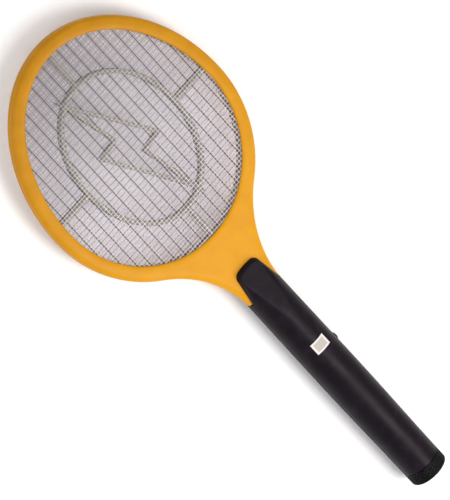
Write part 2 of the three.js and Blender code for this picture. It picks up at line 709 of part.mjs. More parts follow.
function circuit() {
  const group = new THREE.Group();
  const diode = () => alongX(bead(1.4, 5));
  group.add(
    toMesh('circuit_board', board(), BOARD),
    placed(toMesh('transformer_core', transformerCore(), FERRITE), 0, TRANSFORMER_Y),
    placed(toMesh('transformer_winding', transformerWinding(), COPPER), 0, TRANSFORMER_Y),
    placed(toMesh('high_voltage_capacitor', capacitor(), FILM), -4, -82),
    placed(toMesh('transistor', transistor(), EPOXY), -7, -122),
    placed(toMesh('bleed_resistor', bead(1.7, 9), RESISTOR), -8, -111, -1.9),
    placed(toMesh('diode_1', diode(), EPOXY), 4, -119, -2.2),
    placed(toMesh('diode_2', diode(), EPOXY), 4, -124, -2.2),
    placed(toMesh('diode_3', diode(), EPOXY), 4, -129, -2.2),
    placed(toMesh('switch_body', switchBody(), EPOXY), 0, BUTTON_Y),
    placed(toMesh('indicator_lamp', lamp(), LAMP_RED), 0, LAMP_Y),
    toMesh('lead_front_net', netLead(-8.4, -7, NET_LOW - 1.1), LEAD_RED),
    toMesh('lead_grid', netLead(-5.6, 0, 0), LEAD_YELLOW),
    toMesh('lead_rear_net', netLead(7.4, 7, 1.1 - NET_LOW), LEAD_RED),
    toMesh('lead_battery_plus', batteryLead(-BATTERY_LEAD_X), LEAD_RED),
    toMesh('lead_battery_minus', batteryLead(BATTERY_LEAD_X), LEAD_BLACK),
  );
  return group;
}

function button() {
  const group = new THREE.Group();
  group.add(
    toMesh('push_button', pushButton(), BLACK),
    toMesh('switch_plunger', switchPlunger(), PAPER),
  );
  group.position.y = BUTTON_Y;
  return group;
}

// The left cell has its button end towards the head, the right one towards the cap.
function cells() {
  const group = new THREE.Group();
  const turnedCell = cell().rotate([180, 0, 0]).translate([0, CELL_LENGTH, 0]);
  const contactY = CELL_LOW_Y + CELL_LENGTH + 0.5;
  group.add(
    placed(toMesh('cell_left', cell(), CELL_JACKET), -CELL_X, CELL_LOW_Y),
    placed(toMesh('cell_right', turnedCell, CELL_JACKET), CELL_X, CELL_LOW_Y),
    placed(toMesh('contact_plus', contactPlate(), STEEL), -CELL_X, contactY),
    placed(toMesh('contact_minus', contactPlate(), STEEL), CELL_X, contactY),
  );
  return group;
}

function cap() {
  const group = new THREE.Group();
  const springY = BUTT_Y + 3 + GAP;
  group.add(
    toMesh('battery_cap', batteryCap(), BLACK),
    toMesh('cap_contact', capContact(), STEEL),
    placed(toMesh('cap_spring_left', coil(), STEEL), -CELL_X, springY),
    placed(toMesh('cap_spring_right', coil(), STEEL), CELL_X, springY),
  );
  return group;
}

const swatter = new THREE.Group();
swatter.add(head(), handle(), circuit(), button(), cells(), cap());
swatter.position.z = HANDLE_BELLY_RADIUS;

export default swatter;
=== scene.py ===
"""Electric fly swatter: the looks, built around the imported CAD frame.

Every piece is drawn in millimetres about the handle's axis, as the CAD part is,
and is then scaled to metres and lifted to the axis. +Z is the front of the
racket, +Y points to the tip of its head and +X is the side of the push button.
"""

import random
from math import acos, asin, copysign, cos, pi, radians, sin, sqrt

import bmesh
import bpy
from mathutils import Matrix, Vector


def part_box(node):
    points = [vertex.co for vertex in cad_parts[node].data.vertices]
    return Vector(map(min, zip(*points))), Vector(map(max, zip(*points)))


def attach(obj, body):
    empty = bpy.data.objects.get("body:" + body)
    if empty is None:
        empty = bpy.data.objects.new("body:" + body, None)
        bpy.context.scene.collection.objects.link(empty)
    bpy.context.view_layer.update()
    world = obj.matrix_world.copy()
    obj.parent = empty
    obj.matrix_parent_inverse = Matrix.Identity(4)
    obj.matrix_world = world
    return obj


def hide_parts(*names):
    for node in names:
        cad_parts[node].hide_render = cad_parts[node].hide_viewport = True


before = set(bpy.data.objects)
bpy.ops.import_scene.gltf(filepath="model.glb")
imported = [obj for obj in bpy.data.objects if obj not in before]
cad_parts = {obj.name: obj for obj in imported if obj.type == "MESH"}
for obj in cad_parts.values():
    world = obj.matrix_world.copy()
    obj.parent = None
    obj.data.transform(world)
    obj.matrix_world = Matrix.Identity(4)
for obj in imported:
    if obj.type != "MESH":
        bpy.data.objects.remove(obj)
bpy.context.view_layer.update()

# ---- sizes

MM = 0.001
GRID_LOW, GRID_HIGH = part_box("inner_grid")
AXIS_Z = (GRID_LOW.z + GRID_HIGH.z) / 2  # height of the handle's axis, metres


def span(node):
    """The lowest and highest corner of a CAD node, in millimetres from the axis."""
    return [(corner - Vector((0, 0, AXIS_Z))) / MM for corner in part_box(node)]


def middle(node):
    low, high = span(node)
    return (low + high) / 2


def half(node):
    low, high = span(node)
    return (high - low) / 2


NET_FIT = 2.7  # how far the nets reach into the rim
POCKET = 3.0
SPLIT = 0.15  # half the gap between two half shells
HALF_WIDTH, TIP_Y, FACE_Z = span("front_frame")[1]
TOP_REACH = 125.0  # from the widest line of the head to its tip
BOTTOM_REACH = 106.0
HEAD_Y = TIP_Y - TOP_REACH
SHOULDER = 0.95  # angle where the oval turns into the neck
SHOULDER_PULL = 48.0
NECK_PULL = 3.0
NECK_HALF_WIDTH = 17.9
NECK_END_Y = -32.7
OPEN_LOW, OPEN_HIGH = span("inner_grid")
OPEN_HALF_WIDTH = OPEN_HIGH.x - NET_FIT
OPEN_TOP = OPEN_HIGH.y - NET_FIT - HEAD_Y
OPEN_BOTTOM = HEAD_Y - OPEN_LOW.y - NET_FIT

BUTT_Y = span("battery_cap")[0].y
CAP_MOUTH_Y = span("battery_cap")[1].y
HANDLE_TOP_Y = -33.0
HANDLE_TOP_RADIUS = 17.9
BELLY_Y = -140.0
BELLY_RADIUS = 18.28
HANDLE_END_Y = CAP_MOUTH_Y + 0.3
HANDLE_END_RADIUS = 17.4
HANDLE_WALL = 2.2
SPIGOT_RADIUS = 16.1
SPIGOT_END_Y = span("handle_front")[0].y
BAY_RADIUS = 15.0
BULKHEAD_LOW_Y = -190.0
BULKHEAD_HIGH_Y = -188.2
FACET_START_Y = -55.0
FACET_SLOPE = 0.108
THREAD_PITCH = 2.5  # three turns draw the cap off by 7.5 mm

BUTTON_Y = middle("push_button").y
LAMP_Y = middle("indicator_lamp").y
BOARD_LOW, BOARD_HIGH = span("circuit_board")

# ---- materials


class Finish:
    """A node material round a Principled shader, whose constants are named after its sockets."""

    def __init__(self, name, specular=0.5, **constants):
        self.material = bpy.data.materials.new(name)
        self.material.use_nodes = True
        self.tree = self.material.node_tree
        self.shader = self.tree.nodes["Principled BSDF"]
        self.shader.inputs["Specular IOR Level"].default_value = specular
        for constant, value in constants.items():
            self.shader.inputs[constant.replace("_", " ").title()].default_value = value
        self.place = self.tree.nodes.new("ShaderNodeTexCoord").outputs["Object"]

    def link(self, output, socket):
        self.tree.links.new(output, self.shader.inputs[socket])
        return self

    def node(self, kind, inputs, **settings):
        made = self.tree.nodes.new(kind)
        for key, value in settings.items():
            setattr(made, key, value)
        for key, value in inputs.items():
            if isinstance(value, bpy.types.NodeSocket):
                self.tree.links.new(value, made.inputs[key])
            else:
                made.inputs[key].default_value = value
        return made

    def stretched(self, scale):
        """The piece's own coordinates with each axis scaled."""
        return self.node("ShaderNodeMapping", {"Vector": self.place, "Scale": scale}).outputs[0]

    def axis(self, name):
        """The piece's own X, Y or Z, in metres."""
        return self.node("ShaderNodeSeparateXYZ", {"Vector": self.place}).outputs[name]

    def noise(self, size, detail=3.0, place=None, roughness=0.55):
        """Noise with features about size millimetres wide."""
        return self.node("ShaderNodeTexNoise", {
            "Vector": place or self.place, "Scale": 1 / (size * MM),
            "Detail": detail, "Roughness": roughness}).outputs["Fac"]

    def ramp(self, value, stops):
        """A colour from (position, colour) stops, where a number is a grey."""
        made = self.node("ShaderNodeValToRGB", {"Fac": value})
        points = made.color_ramp.elements
        while len(points) < len(stops):
            points.new(0.5)
        for point, (position, colour) in zip(points, stops):
            point.position = position
            grey = isinstance(colour, (int, float))
            point.color = (colour,) * 3 + (1,) if grey else (*colour, 1)
        return made.outputs["Color"]

    def tones(self, value, dark, light):
        return self.ramp(value, [(0.3, dark), (0.7, light)])

    def colour(self, value, dark, light):
        return self.link(self.tones(value, dark, light), "Base Color")

    def math(self, operation, first, second=0.0, third=0.0):
        return self.node("ShaderNodeMath", {0: first, 1: second, 2: third},
                         operation=operation).outputs[0]

    def mix(self, share, *ends):
        """A colour between two, which are sockets or constants."""
        first, second = [end if isinstance(end, bpy.types.NodeSocket) else (*end, 1)
                         for end in ends]
        return self.node("ShaderNodeMix", {0: share, 6: first, 7: second},
                         data_type="RGBA").outputs[2]

    def towards_tip(self, start):
        """0 up to a place on the racket's length, in metres, rising to 1 at the tip."""
        return self.node("ShaderNodeMapRange", {
            "Value": self.axis("Y"), "From Min": start, "From Max": TIP_Y * MM}).outputs["Result"]

    def gloss(self, value, low, high):
        """Roughness between low and high, following a 0 to 1 value."""
        spread = self.node("ShaderNodeMapRange", {
            "Value": value, "From Min": 0.3, "From Max": 0.7, "To Min": low, "To Max": high})
        return self.link(spread.outputs["Result"], "Roughness")

    def bumped(self, *layers):
        """The material, with bumps from (height, depth in mm, strength) layers."""
        below = None
        for height, depth, strength in layers:
            made = self.node("ShaderNodeBump", {
                "Height": height, "Distance": depth * MM, "Strength": strength})
            if below:
                self.tree.links.new(below, made.inputs["Normal"])
            below = made.outputs["Normal"]
        self.link(below, "Normal")
        return self.material


def surface(name, tones, gloss, *bumps, **shader):
    """A plain finish; its tones, gloss and bumps start with their noise's size and detail."""
    finish = Finish(name, **shader)
    *cloud, dark, light = tones
    *smears, low, high = gloss
    finish.colour(finish.noise(*cloud), dark, light).gloss(finish.noise(*smears), low, high)
    return finish.bumped(*[(finish.noise(*grain), depth, strength)
                           for *grain, depth, strength in bumps])


def plastic(name, dark, light, gloss=(0.35, 0.55), specular=0.5):
    """Injection-moulded plastic: cloudy colour, a fine grain and uneven gloss."""
    return surface(name, (5, 4, dark, light), (2.5, 5, *gloss), (5, 2, 0.05, 0.25),
                   (0.3, 2, 0.02, 0.5), specular=specular)


def amber_plastic():
    """Amber plastic, darker towards the tip of the head as painted shade, with an uneven gloss."""
    finish = Finish("amber_plastic", 0.12, subsurface_weight=0.12, subsurface_scale=0.004,
                    subsurface_radius=(0.6, 0.25, 0.05))
    cloud = finish.noise(14, 4)
    near = finish.tones(cloud, (0.61, 0.268, 0.005), (0.66, 0.300, 0.007))
    # Painted shade: these far tones, about a third darker, take over towards the tip.
    far = finish.tones(cloud, (0.41, 0.178, 0.004), (0.48, 0.214, 0.006))
    finish.link(finish.mix(finish.towards_tip(0.0), near, far), "Base Color")
    finish.gloss(finish.noise(7, 5), 0.30, 0.46)
    return finish.bumped((finish.noise(14, 2), 0.05, 0.25), (finish.noise(0.5, 2), 0.012, 0.5))


def handle_plastic():
    """Satin black with a purple cast, and faint flow lines along the handle."""
    finish = Finish("handle_plastic", specular=0.115)
    finish.link(finish.ramp(finish.noise(9, 4), [
        (0.25, (0.0035, 0.0016, 0.0035)), (0.55, (0.0065, 0.0034, 0.0070)),
        (0.8, (0.0130, 0.0072, 0.0140))]), "Base Color")
    flow = finish.noise(1, 3, finish.stretched((0.35, 0.02, 0.35)))
    rubbed = finish.math("MULTIPLY", finish.noise(22), 0.55)
    finish.gloss(finish.math("MULTIPLY_ADD", flow, 0.45, rubbed), 0.33, 0.52)
    return finish.bumped((flow, 0.05, 0.22), (finish.noise(0.45, 2), 0.03, 0.55))


def cap_plastic():
    """Rough deep black, with a coarse spark-eroded grain whose lighter specks in the colour are
    painted glints.
    """
    finish = Finish("cap_plastic", specular=0.07)
    grain_and_glints = finish.noise(0.9, 4)
    # Painted glints: the grain's highest points turn a lighter black.
    finish.link(finish.ramp(grain_and_glints, [(0.50, 0.0006), (0.58, 0.003), (0.68, 0.022)]), "Base Color")
    return finish.gloss(grain_and_glints, 0.30, 0.60).bumped((grain_and_glints, 0.25, 0.8))


def wire_metal(name, dark, light, gloss, metallic=0.85):
    """Drawn wire, uneven in colour and gloss, and darker towards the tip of the head as painted
    shade.
    """
    finish = Finish(name, metallic=metallic)
    # Patchy tone; on the net wire, whose light tone is near white, these patches are painted
    # sparkle.
    tone_and_sparkle = finish.ramp(finish.noise(1.6, roughness=0.7), [(0.42, dark), (0.58, light)])
    # Painted shade: towards the tip the wire turns to a darker copy of its dark tone.
    tip_shade_tone = tuple(0.62 * value for value in dark)
    finish.link(finish.mix(finish.towards_tip(0.12), tone_and_sparkle, tip_shade_tone), "Base Color")
    return finish.gloss(finish.noise(2.5), *gloss).bumped((finish.noise(0.3, 2), 0.01, 0.4))


def laminate():
    """Brown phenolic board with a woven grain."""
    finish = Finish("board_laminate", specular=0.35)
    weave = finish.noise(1, 3, finish.stretched((1.0, 0.12, 1.0)))
    finish.colour(weave, (0.30, 0.165, 0.055), (0.44, 0.26, 0.10))
    return finish.gloss(finish.noise(4), 0.45, 0.65).bumped((weave, 0.02, 0.5))


def banded(name, base, bands, axis):
    """Lacquer with painted rings, as (middle, half width, colour) along an axis, in mm."""
    finish = Finish(name)
    tone = finish.tones(finish.noise(1.5, 4), tuple(0.85 * channel for channel in base), base)
    place = finish.axis(axis)
    for ring_at, reach, colour in bands:
        tone = finish.mix(finish.math("COMPARE", place, ring_at * MM, reach * MM), tone, colour)
    finish.link(tone, "Base Color").gloss(finish.noise(0.8), 0.3, 0.45)
    return finish.bumped((finish.noise(0.4, 2), 0.01, 0.4))


def label_paper():
    """White paper with a faint printed block of plain bars."""
    finish = Finish("label_paper", roughness=0.75, specular=0.3)
    low, high = span("label")
    bar_pitch = 1.7
    fibre, x = finish.noise(0.6, 4), finish.axis("X")
    off_middle = finish.math("SUBTRACT", finish.axis("Y"), middle("label").y * MM)
    reaches = ((x, 0.74 * high.x * MM), (off_middle, 0.36 * (high.y - low.y) * MM))
    inside = finish.math("MULTIPLY", *[
        finish.math("LESS_THAN", finish.math("ABSOLUTE", place), reach)
        for place, reach in reaches])
    wave = finish.math("SINE", finish.math("MULTIPLY", x, 2 * pi / (bar_pitch * MM)))
    bars = finish.math("MULTIPLY", finish.math("GREATER_THAN", wave, 0.35), 0.55)
    paper = finish.tones(fibre, (0.62, 0.58, 0.57), (0.72, 0.69, 0.68))
    printed = finish.mix(bars, (0.48, 0.42, 0.37), (0.22, 0.19, 0.18))
    finish.link(finish.mix(finish.math("MULTIPLY", inside, 0.85), paper, printed), "Base Color")
    return finish.bumped((fibre, 0.02, 0.5))


def cell_jacket():
    """A blue jacket with a metallic band at the nub's end and streaks of wear."""
    finish = Finish("cell_jacket", metallic=0.35)
    low, high = span("cell_left")
    band = 10.0
    wear = finish.noise(1, 4, finish.stretched((0.5, 0.06, 0.5)))
    blue = finish.tones(wear, (0.045, 0.13, 0.30), (0.065, 0.18, 0.38))
    tin = finish.tones(wear, (0.50, 0.50, 0.51), (0.64, 0.64, 0.65))
    y = finish.axis("Y")
    on_left = finish.math("LESS_THAN", finish.axis("X"), 0.0)
    near_tip = finish.math("GREATER_THAN", y, (high.y - band) * MM)
    near_butt = finish.math("LESS_THAN", y, (low.y + band) * MM)
    right_band = finish.math("MULTIPLY", near_butt, finish.math("SUBTRACT", 1.0, on_left))
    in_band = finish.math("MULTIPLY_ADD", near_tip, on_left, right_band)
    finish.link(finish.mix(in_band, blue, tin), "Base Color")
    return finish.gloss(wear, 0.22, 0.38).bumped((wear, 0.01, 0.3))


# ---- meshes


def full_turn(steps):
    return [2 * pi * step / steps for step in range(steps)]


def quarter_turn(steps):
    """The angles after 0 up to a right angle."""
    return [pi / 2 * step / steps for step in range(1, steps + 1)]


def spread(low, high, steps):
    return [low + (high - low) * step / steps for step in range(steps + 1)]


def at(x, y):
    return Vector((x, y, 0))


def raised(points, z):
    return [(p.x, p.y, z) for p in points]


def around(reach, angle, y):
    """A point at that reach from the Y axis and that angle from straight up."""
    return reach * sin(angle), y, reach * cos(angle)


def shell_faces(rows, columns, wrap_rows=False):
    """Quads between closed rows of points, and both ends unless the last row meets the first."""
    faces = []
    for row in range(rows if wrap_rows else rows - 1):
        here, there = row * columns, (row + 1) % rows * columns
        for column in range(columns):
            after = (column + 1) % columns
            faces.append((here + column, here + after, there + after, there + column))
    if not wrap_rows:
        faces += [tuple(range(columns)), tuple(range((rows - 1) * columns, rows * columns))]
    return faces


def placed(name, data):
    """A new object in the scene."""
    made = bpy.data.objects.new(name, data)
    bpy.context.scene.collection.objects.link(made)
    return made


def solid(points, faces):
    """An object from points in millimetres, with its faces turned outwards."""
    mesh = bpy.data.meshes.new("tool")
    mesh.from_pydata([tuple(point) for point in points], [], faces)
    shape = bmesh.new()
    shape.from_mesh(mesh)
    bmesh.ops.remove_doubles(shape, verts=shape.verts, dist=1e-4)
    bmesh.ops.recalc_face_normals(shape, faces=shape.faces)
    shape.to_mesh(mesh)
    shape.free()
    return placed("tool", mesh)


def stacked(rows, wrap_rows=False):
    """A solid from closed rows of points."""
    faces = shell_faces(len(rows), len(rows[0]), wrap_rows)
    return solid([point for row in rows for point in row], faces)


def turned(profile, sides=32, ripple=None):
    """A round solid about the Y axis; ripple changes a radius by its angle and y."""
    return stacked([[around(radius + (ripple(angle, y, radius) if ripple else 0), angle, y)
                     for angle in full_turn(sides)] for radius, y in profile])


def cylinder(radius, low, high, sides=32):
    return turned([(radius, low), (radius, high)], sides)


def block(low, high):
    """A box between two corners."""
    (x0, y0, z0), (x1, y1, z1) = low, high
    return prism([(x0, y0), (x1, y0), (x1, y1), (x0, y1)], z0, z1)


def prism(outline, low, high):
    """A plate between two heights with the outline in the XY plane."""
    return stacked([[(x, y, z) for x, y in outline] for z in (low, high)])


def moved(made, offset=(0, 0, 0), turn=None):
    """The solid turned about an axis, as ("X", degrees), and then shifted."""
    matrix = Matrix.Translation(offset)
    if turn:
        matrix = matrix @ Matrix.Rotation(radians(turn[1]), 4, turn[0])
    made.data.transform(matrix)
    return made


def mirrored(made):
    """The mirror image of a solid, front to rear."""
    made.data.transform(Matrix.Scale(-1, 4, (0, 0, 1)))
    made.data.flip_normals()
    return made


def along_x(made, y=0.0):
    """A solid drawn along Y, laid along X and moved to y."""
    return moved(moved(made, turn=("Z", -90)), (0, y, 0))


def along_z(made):
    return moved(made, turn=("X", 90))


def posts(places, radius, low, high, sides=32):
    """Upright round posts at (x, y) places."""
    return [moved(along_z(cylinder(radius, low, high, sides)), (x, y, 0)) for x, y in places]


def joined(parts):
    """One object from several that don't touch each other."""
    whole = parts[0]
    shape = bmesh.new()
    for part in parts:
        shape.from_mesh(part.data)
    shape.to_mesh(whole.data)
    shape.free()
    for part in parts[1:]:
        bpy.data.objects.remove(part)
    return whole


def combined(whole, operation, parts):
    """whole after a boolean with parts, which don't touch each other."""
    tool = joined(parts)
    modifier = whole.modifiers.new("boolean", "BOOLEAN")
    modifier.operation = operation
    modifier.solver = "MANIFOLD"
    modifier.object = tool
    graph = bpy.context.evaluated_depsgraph_get()
    result = bpy.data.meshes.new_from_object(whole.evaluated_get(graph))
    whole.modifiers.clear()
    whole.data = result
    bpy.data.objects.remove(tool)
    return whole


def united(whole, *parts):
    return combined(whole, "UNION", parts)


def cut(whole, *parts):
    return combined(whole, "DIFFERENCE", parts)


def swept(path, section, closed=False, up=Vector((0, 0, 1))):
    """A section, as (sideways, upwards) pairs, carried along a path."""
    rows = []
    count = len(path)
    for index, point in enumerate(path):
        if closed:
            before, after = path[index - 1], path[(index + 1) % count]
        else:
            before, after = path[max(index - 1, 0)], path[min(index + 1, count - 1)]
        ahead = (after - before).normalized()
        side = ahead.cross(up).normalized()
        above = side.cross(ahead)
        rows.append([point + side * s + above * u for s, u in section])
    return stacked(rows, wrap_rows=closed)


def circle_section(radius, sides=10):
    return [(radius * cos(a), radius * sin(a)) for a in full_turn(sides)]


def rounded_rectangle(half_x, half_y, corner, steps=4):
    """A rectangle about the origin, as (x, y) pairs."""
    outline = []
    for quarter, (x, y) in enumerate([(1, 1), (-1, 1), (-1, -1), (1, -1)]):
        for step in range(steps + 1):
            angle = pi / 2 * (quarter + step / steps)
            outline.append((x * (half_x - corner) + corner * cos(angle),
                            y * (half_y - corner) + corner * sin(angle)))
    return outline


def soft_bar_section(width, low, high, corner):
    """A bar's rounded section, as (sideways, height) pairs."""
    level = (low + high) / 2
    return [(x, z + level) for x, z in rounded_rectangle(width / 2, (high - low) / 2, corner)]


def soft_block(low, high, corner, edge):
    """A box between two corners, with rounded upright edges and rounded rims."""
    centre, reach = (low + high) / 2, (high - low) / 2
    rims = [(edge * (1 - sin(turn)), edge * (1 - cos(turn))) for turn in [0] + quarter_turn(4)]
    levels = [(inset, low.z + rise) for inset, rise in rims]
    levels += [(inset, high.z - rise) for inset, rise in reversed(rims)]
    return stacked([[(centre.x + x, centre.y + y, z) for x, y in rounded_rectangle(
        reach.x - inset, reach.y - inset, max(corner - inset, 0.05))] for inset, z in levels])


def smooth_path(points, steps=8):
    """A Catmull-Rom curve through the points."""
    points = [Vector(point) for point in points]
    knots = [2 * points[0] - points[1]] + points + [2 * points[-1] - points[-2]]
    path = []
    for a, b, c, d in zip(knots, knots[1:], knots[2:], knots[3:]):
        for i in range(steps):
            t = i / steps
            path.append(b + (c - a) * (t / 2) + (a - 2.5 * b + 2 * c - 0.5 * d) * t ** 2
                        + (1.5 * b - 0.5 * a - 1.5 * c + 0.5 * d) * t ** 3)
    return path + [points[-1]]


def piece(name, made, material, node, body="racket", sharp=35.0):
    """Names a finished solid, puts it in the row frame and hands it to its body.

    Its slot holds the given material.
    """
    made.name = name
    made.data.name = name
    made.data.transform(Matrix.Translation((0, 0, AXIS_Z)) @ Matrix.Scale(MM, 4))
    made.data.shade_smooth()
    made.data.set_sharp_from_angle(angle=radians(sharp))
    made.data.materials.clear()
    made.data.materials.append(material)
    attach(made, body)
    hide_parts(node)


# ---- head frame


def oval(half_width, up, down, angles, y=HEAD_Y):
    """Points of an oval whose reach up and down from its widest line may differ."""
    return [at(half_width * cos(a), y + (up if sin(a) > 0 else down) * sin(a)) for a in angles]


def bezier(points, steps):
    a, b, c, d = points
    return [a * (1 - t) ** 3 + b * 3 * t * (1 - t) ** 2 + c * 3 * t * t * (1 - t) + d * t ** 3
            for t in spread(0, 1, steps)[:-1]]


def both_sides(right, tip_y):
    """A closed outline from its right side, its tip and the right side's mirror image."""
    return right + [at(0, tip_y)] + [at(-p.x, p.y) for p in reversed(right)]


def head_outline():
    """Head and neck, from the neck's right corner round to its left one."""
    corner = oval(HALF_WIDTH, TOP_REACH, BOTTOM_REACH, [-SHOULDER])[0]
    along = at(-HALF_WIDTH * sin(SHOULDER), -BOTTOM_REACH * cos(SHOULDER)).normalized()
    right = bezier([at(NECK_HALF_WIDTH, NECK_END_Y), at(NECK_HALF_WIDTH, NECK_END_Y + NECK_PULL),
                    corner + along * SHOULDER_PULL, corner], 28)
    angles = spread(-SHOULDER, 0, 16)[:-1] + spread(0, pi / 2, 36)[:-1]
    return both_sides(right + oval(HALF_WIDTH, TOP_REACH, BOTTOM_REACH, angles), TIP_Y)


def inset_outline(points, inset):
    """A closed outline moved inwards, with its corners kept sharp."""
    made = []
    for index, point in enumerate(points):
        before = (point - points[index - 1]).normalized()
        after = (points[(index + 1) % len(points)] - point).normalized()
        miter = at(-before.y - after.y, before.x + after.x)
        made.append(point + miter * inset / (1 + before.dot(after)))
    return made


def opening(grow, steps):
    """The oval of the opening, grown all round."""
    return oval(OPEN_HALF_WIDTH + grow, OPEN_TOP + grow, OPEN_BOTTOM + grow, full_turn(steps))


EDGE_ROUND = 4.5
EDGE_DROP = 0.3  # height lost to the crown between the edges
LIP_Z = 5.3  # underside of the lip over the nets
# From the rounded edge inwards, as (inset, depth under the face).
CROWN = [(5.0, 0.2), (6.0, 0.06), (7.0, 0), (7.8, 0)]
# From the nets out to the face, as (distance outside the opening, depth under the face).
LIP = [(0.02, 1.3), (0.25, 0.85), (0.7, 0.5), (1.4, 0.22), (2.4, 0.06), (3.5, 0.005),
       (4.0, -0.03), (4.0, -1)]


def frame_half():
    """A half's rounded rim and neck with a seam chamfer, a lip and a pocket."""
    outline = head_outline()
    start_z = FACE_Z - EDGE_DROP - EDGE_ROUND
    edge = [(0.35, SPLIT), (0, 0.5), (0, start_z)]
    edge += [(EDGE_ROUND * (1 - cos(turn)), start_z + EDGE_ROUND * sin(turn))
             for turn in quarter_turn(11)[:-1]]
    edge += [(inset, FACE_Z - depth) for inset, depth in CROWN]
    lip = [(POCKET, SPLIT - 1), (POCKET, LIP_Z), (0, LIP_Z)]
    lip += [(grow, FACE_Z - depth) for grow, depth in LIP]
    return cut(stacked([raised(inset_outline(outline, inset), z) for inset, z in edge]),
               stacked([raised(opening(grow, 160), z) for grow, z in lip]))


NECK_BOSSES = [(-20.0, 12.0), (20.0, 12.0)]
NECK_HOLLOW = [(14, -28), (17, -15), (21, -2), (27, 9), (36, 23)]
STEM_HALF_WIDTH = 12.0
STEM_HALF_HEIGHT = 6.0
STEM_END_Y = -58.0
STEM_WALL = 2.0
HANDLE_SCREWS = ["handle_screw_upper", "handle_screw_lower"]
SCREW_BOSSES = [(0, span(node)[0].y + 2.8) for node in HANDLE_SCREWS]
BOSS_RADIUS = 3.4
SCREW_HOLE = 1.5
FRAME_SCREWS = [f"rim_screw_{i}" for i in range(1, 7)] + ["neck_screw_left", "neck_screw_right"]
SCREW_PLACES = [middle(node).xy for node in FRAME_SCREWS]
BELOW = -9.0  # where a tool starts that cuts from under the seam


def frame_shell():
    """A frame half with its stem, the hollow for the leads, a bore and screw holes."""
    made = united(frame_half(), block((-STEM_HALF_WIDTH, STEM_END_Y, SPLIT),
                                      (STEM_HALF_WIDTH, NECK_END_Y + 1.7, STEM_HALF_HEIGHT)))
    hollow = prism(NECK_HOLLOW + [(-x, y) for x, y in reversed(NECK_HOLLOW)], BELOW, 4.8)
    cut(made, cut(hollow, *posts(NECK_BOSSES, 4.2, BELOW - 1, 9)))
    bore = STEM_HALF_WIDTH - STEM_WALL
    cut(made, block((-bore, STEM_END_Y - 1, BELOW), (bore, -27, STEM_HALF_HEIGHT - STEM_WALL)))
    cut(made, block((-10, 20, BELOW), (10, 34, LIP_Z)),
        *posts(SCREW_BOSSES[:1], BOSS_RADIUS + 0.4, -1, 9))
    return cut(made, *posts(SCREW_PLACES, SCREW_HOLE, BELOW, 4.4, 16))


def frames(amber):
    """Both halves; the screws pass through the rear one, from wells in its face."""
    front, rear = frame_shell(), frame_shell()
    cut(rear, *posts(SCREW_PLACES, SCREW_HOLE, BELOW, 8, 16))
    cut(rear, *posts(SCREW_PLACES, 2.3, 4.6, 12))
    for side, made in (("front", front), ("rear", mirrored(rear))):
        piece(f"{side}_frame_shell", made, amber, f"{side}_frame", sharp=32)


# ---- nets

FINE_PITCH = 3.0
FINE_RADIUS = 0.23
GRID_PITCH = 9.0
NET_HALF_WIDTH = OPEN_HALF_WIDTH + NET_FIT
NET_TOP = OPEN_TOP + NET_FIT
NET_BOTTOM = OPEN_BOTTOM + NET_FIT
WAVER = 0.1  # how far a wire strays sideways


def wire_ends(offset, along_y):
    """Where a straight wire at that offset meets the net's edge, as (low, high)."""
    if along_y:
        share = sqrt(max(0.0, 1 - (offset / NET_HALF_WIDTH) ** 2))
        return HEAD_Y - NET_BOTTOM * share, HEAD_Y + NET_TOP * share
    reach = NET_TOP if offset > HEAD_Y else NET_BOTTOM
    share = sqrt(max(0.0, 1 - ((offset - HEAD_Y) / reach) ** 2))
    return -NET_HALF_WIDTH * share, NET_HALF_WIDTH * share


def wire(offset, along_y, height, radius, chance, steps=9, sides=7):
    """One wire across the net, a little wavy, as closed rows of points."""
    places = spread(*wire_ends(offset, along_y), steps)
    drifts, lifts = [[WAVER * chance.uniform(-1, 1) for _ in places] for _ in range(2)]
    rows = []
    for place, drift, lift in zip(places, drifts, lifts):
        row = []
        for s, u in circle_section(radius, sides):
            across, z = offset + s + drift, height + u + 0.25 * lift
            row.append((across, place, z) if along_y else (place, across, z))
        rows.append(row)
    return rows


def net(pitches, radii, heights, seed):
    """Lengthwise and crosswise wires in two layers that meet where they cross."""
    chance = random.Random(seed)
    points, faces = [], []
    margin = 2.5
    across = int((NET_HALF_WIDTH - margin) / pitches[0])
    up = int((NET_TOP - margin) / pitches[1])
    down = int((NET_BOTTOM - margin) / pitches[1])
    wires = [(i * pitches[0], True) for i in range(-across, across + 1)]
    wires += [(HEAD_Y + i * pitches[1], False) for i in range(-down, up + 1)]
    for offset, along_y in wires:
        layer = 0 if along_y else 1
        rows = wire(offset, along_y, heights[layer], radii[layer], chance)
        first = len(points)
        faces += [tuple(first + i for i in face) for face in shell_faces(len(rows), len(rows[0]))]
        points += [point for row in rows for point in row]
    return solid(points, faces)


def nets(bright, grid_dark_and_shaded):
    low, high = middle("front_net").z - 0.16, middle("front_net").z + 0.16
    for name, heights, seed in (("front", (low, high), 11), ("rear", (-low, -high), 23)):
        made = net((FINE_PITCH, FINE_PITCH), (FINE_RADIUS, FINE_RADIUS), heights, seed)
        piece(f"{name}_wire_net", made, bright, f"{name}_net", sharp=60)
    made = net((GRID_PITCH, GRID_PITCH / 2), (0.52, 0.22), (0.0, -0.12), 37)
    piece("inner_wire_grid", made, grid_dark_and_shaded, "inner_grid", sharp=60)


# ---- spacers

RING_HALF_WIDTH = 52.6
RING_HALF_LENGTH = 69.5
RING_Y = 134.0
BAR_WIDTH = 4.0
ZIGZAG_WIDTH = 3.2
HOOP_WIDTH = 2.3
SPOKE_FIT = 1.2  # how far a spoke reaches into the hoop
ZIGZAG_Y = 136.5
ZIGZAG = [(-18, 62), (25, -9.5), (6.5, -12.5), (17.5, -65.5), (-25, 9.5), (-6.5, 12.5)]


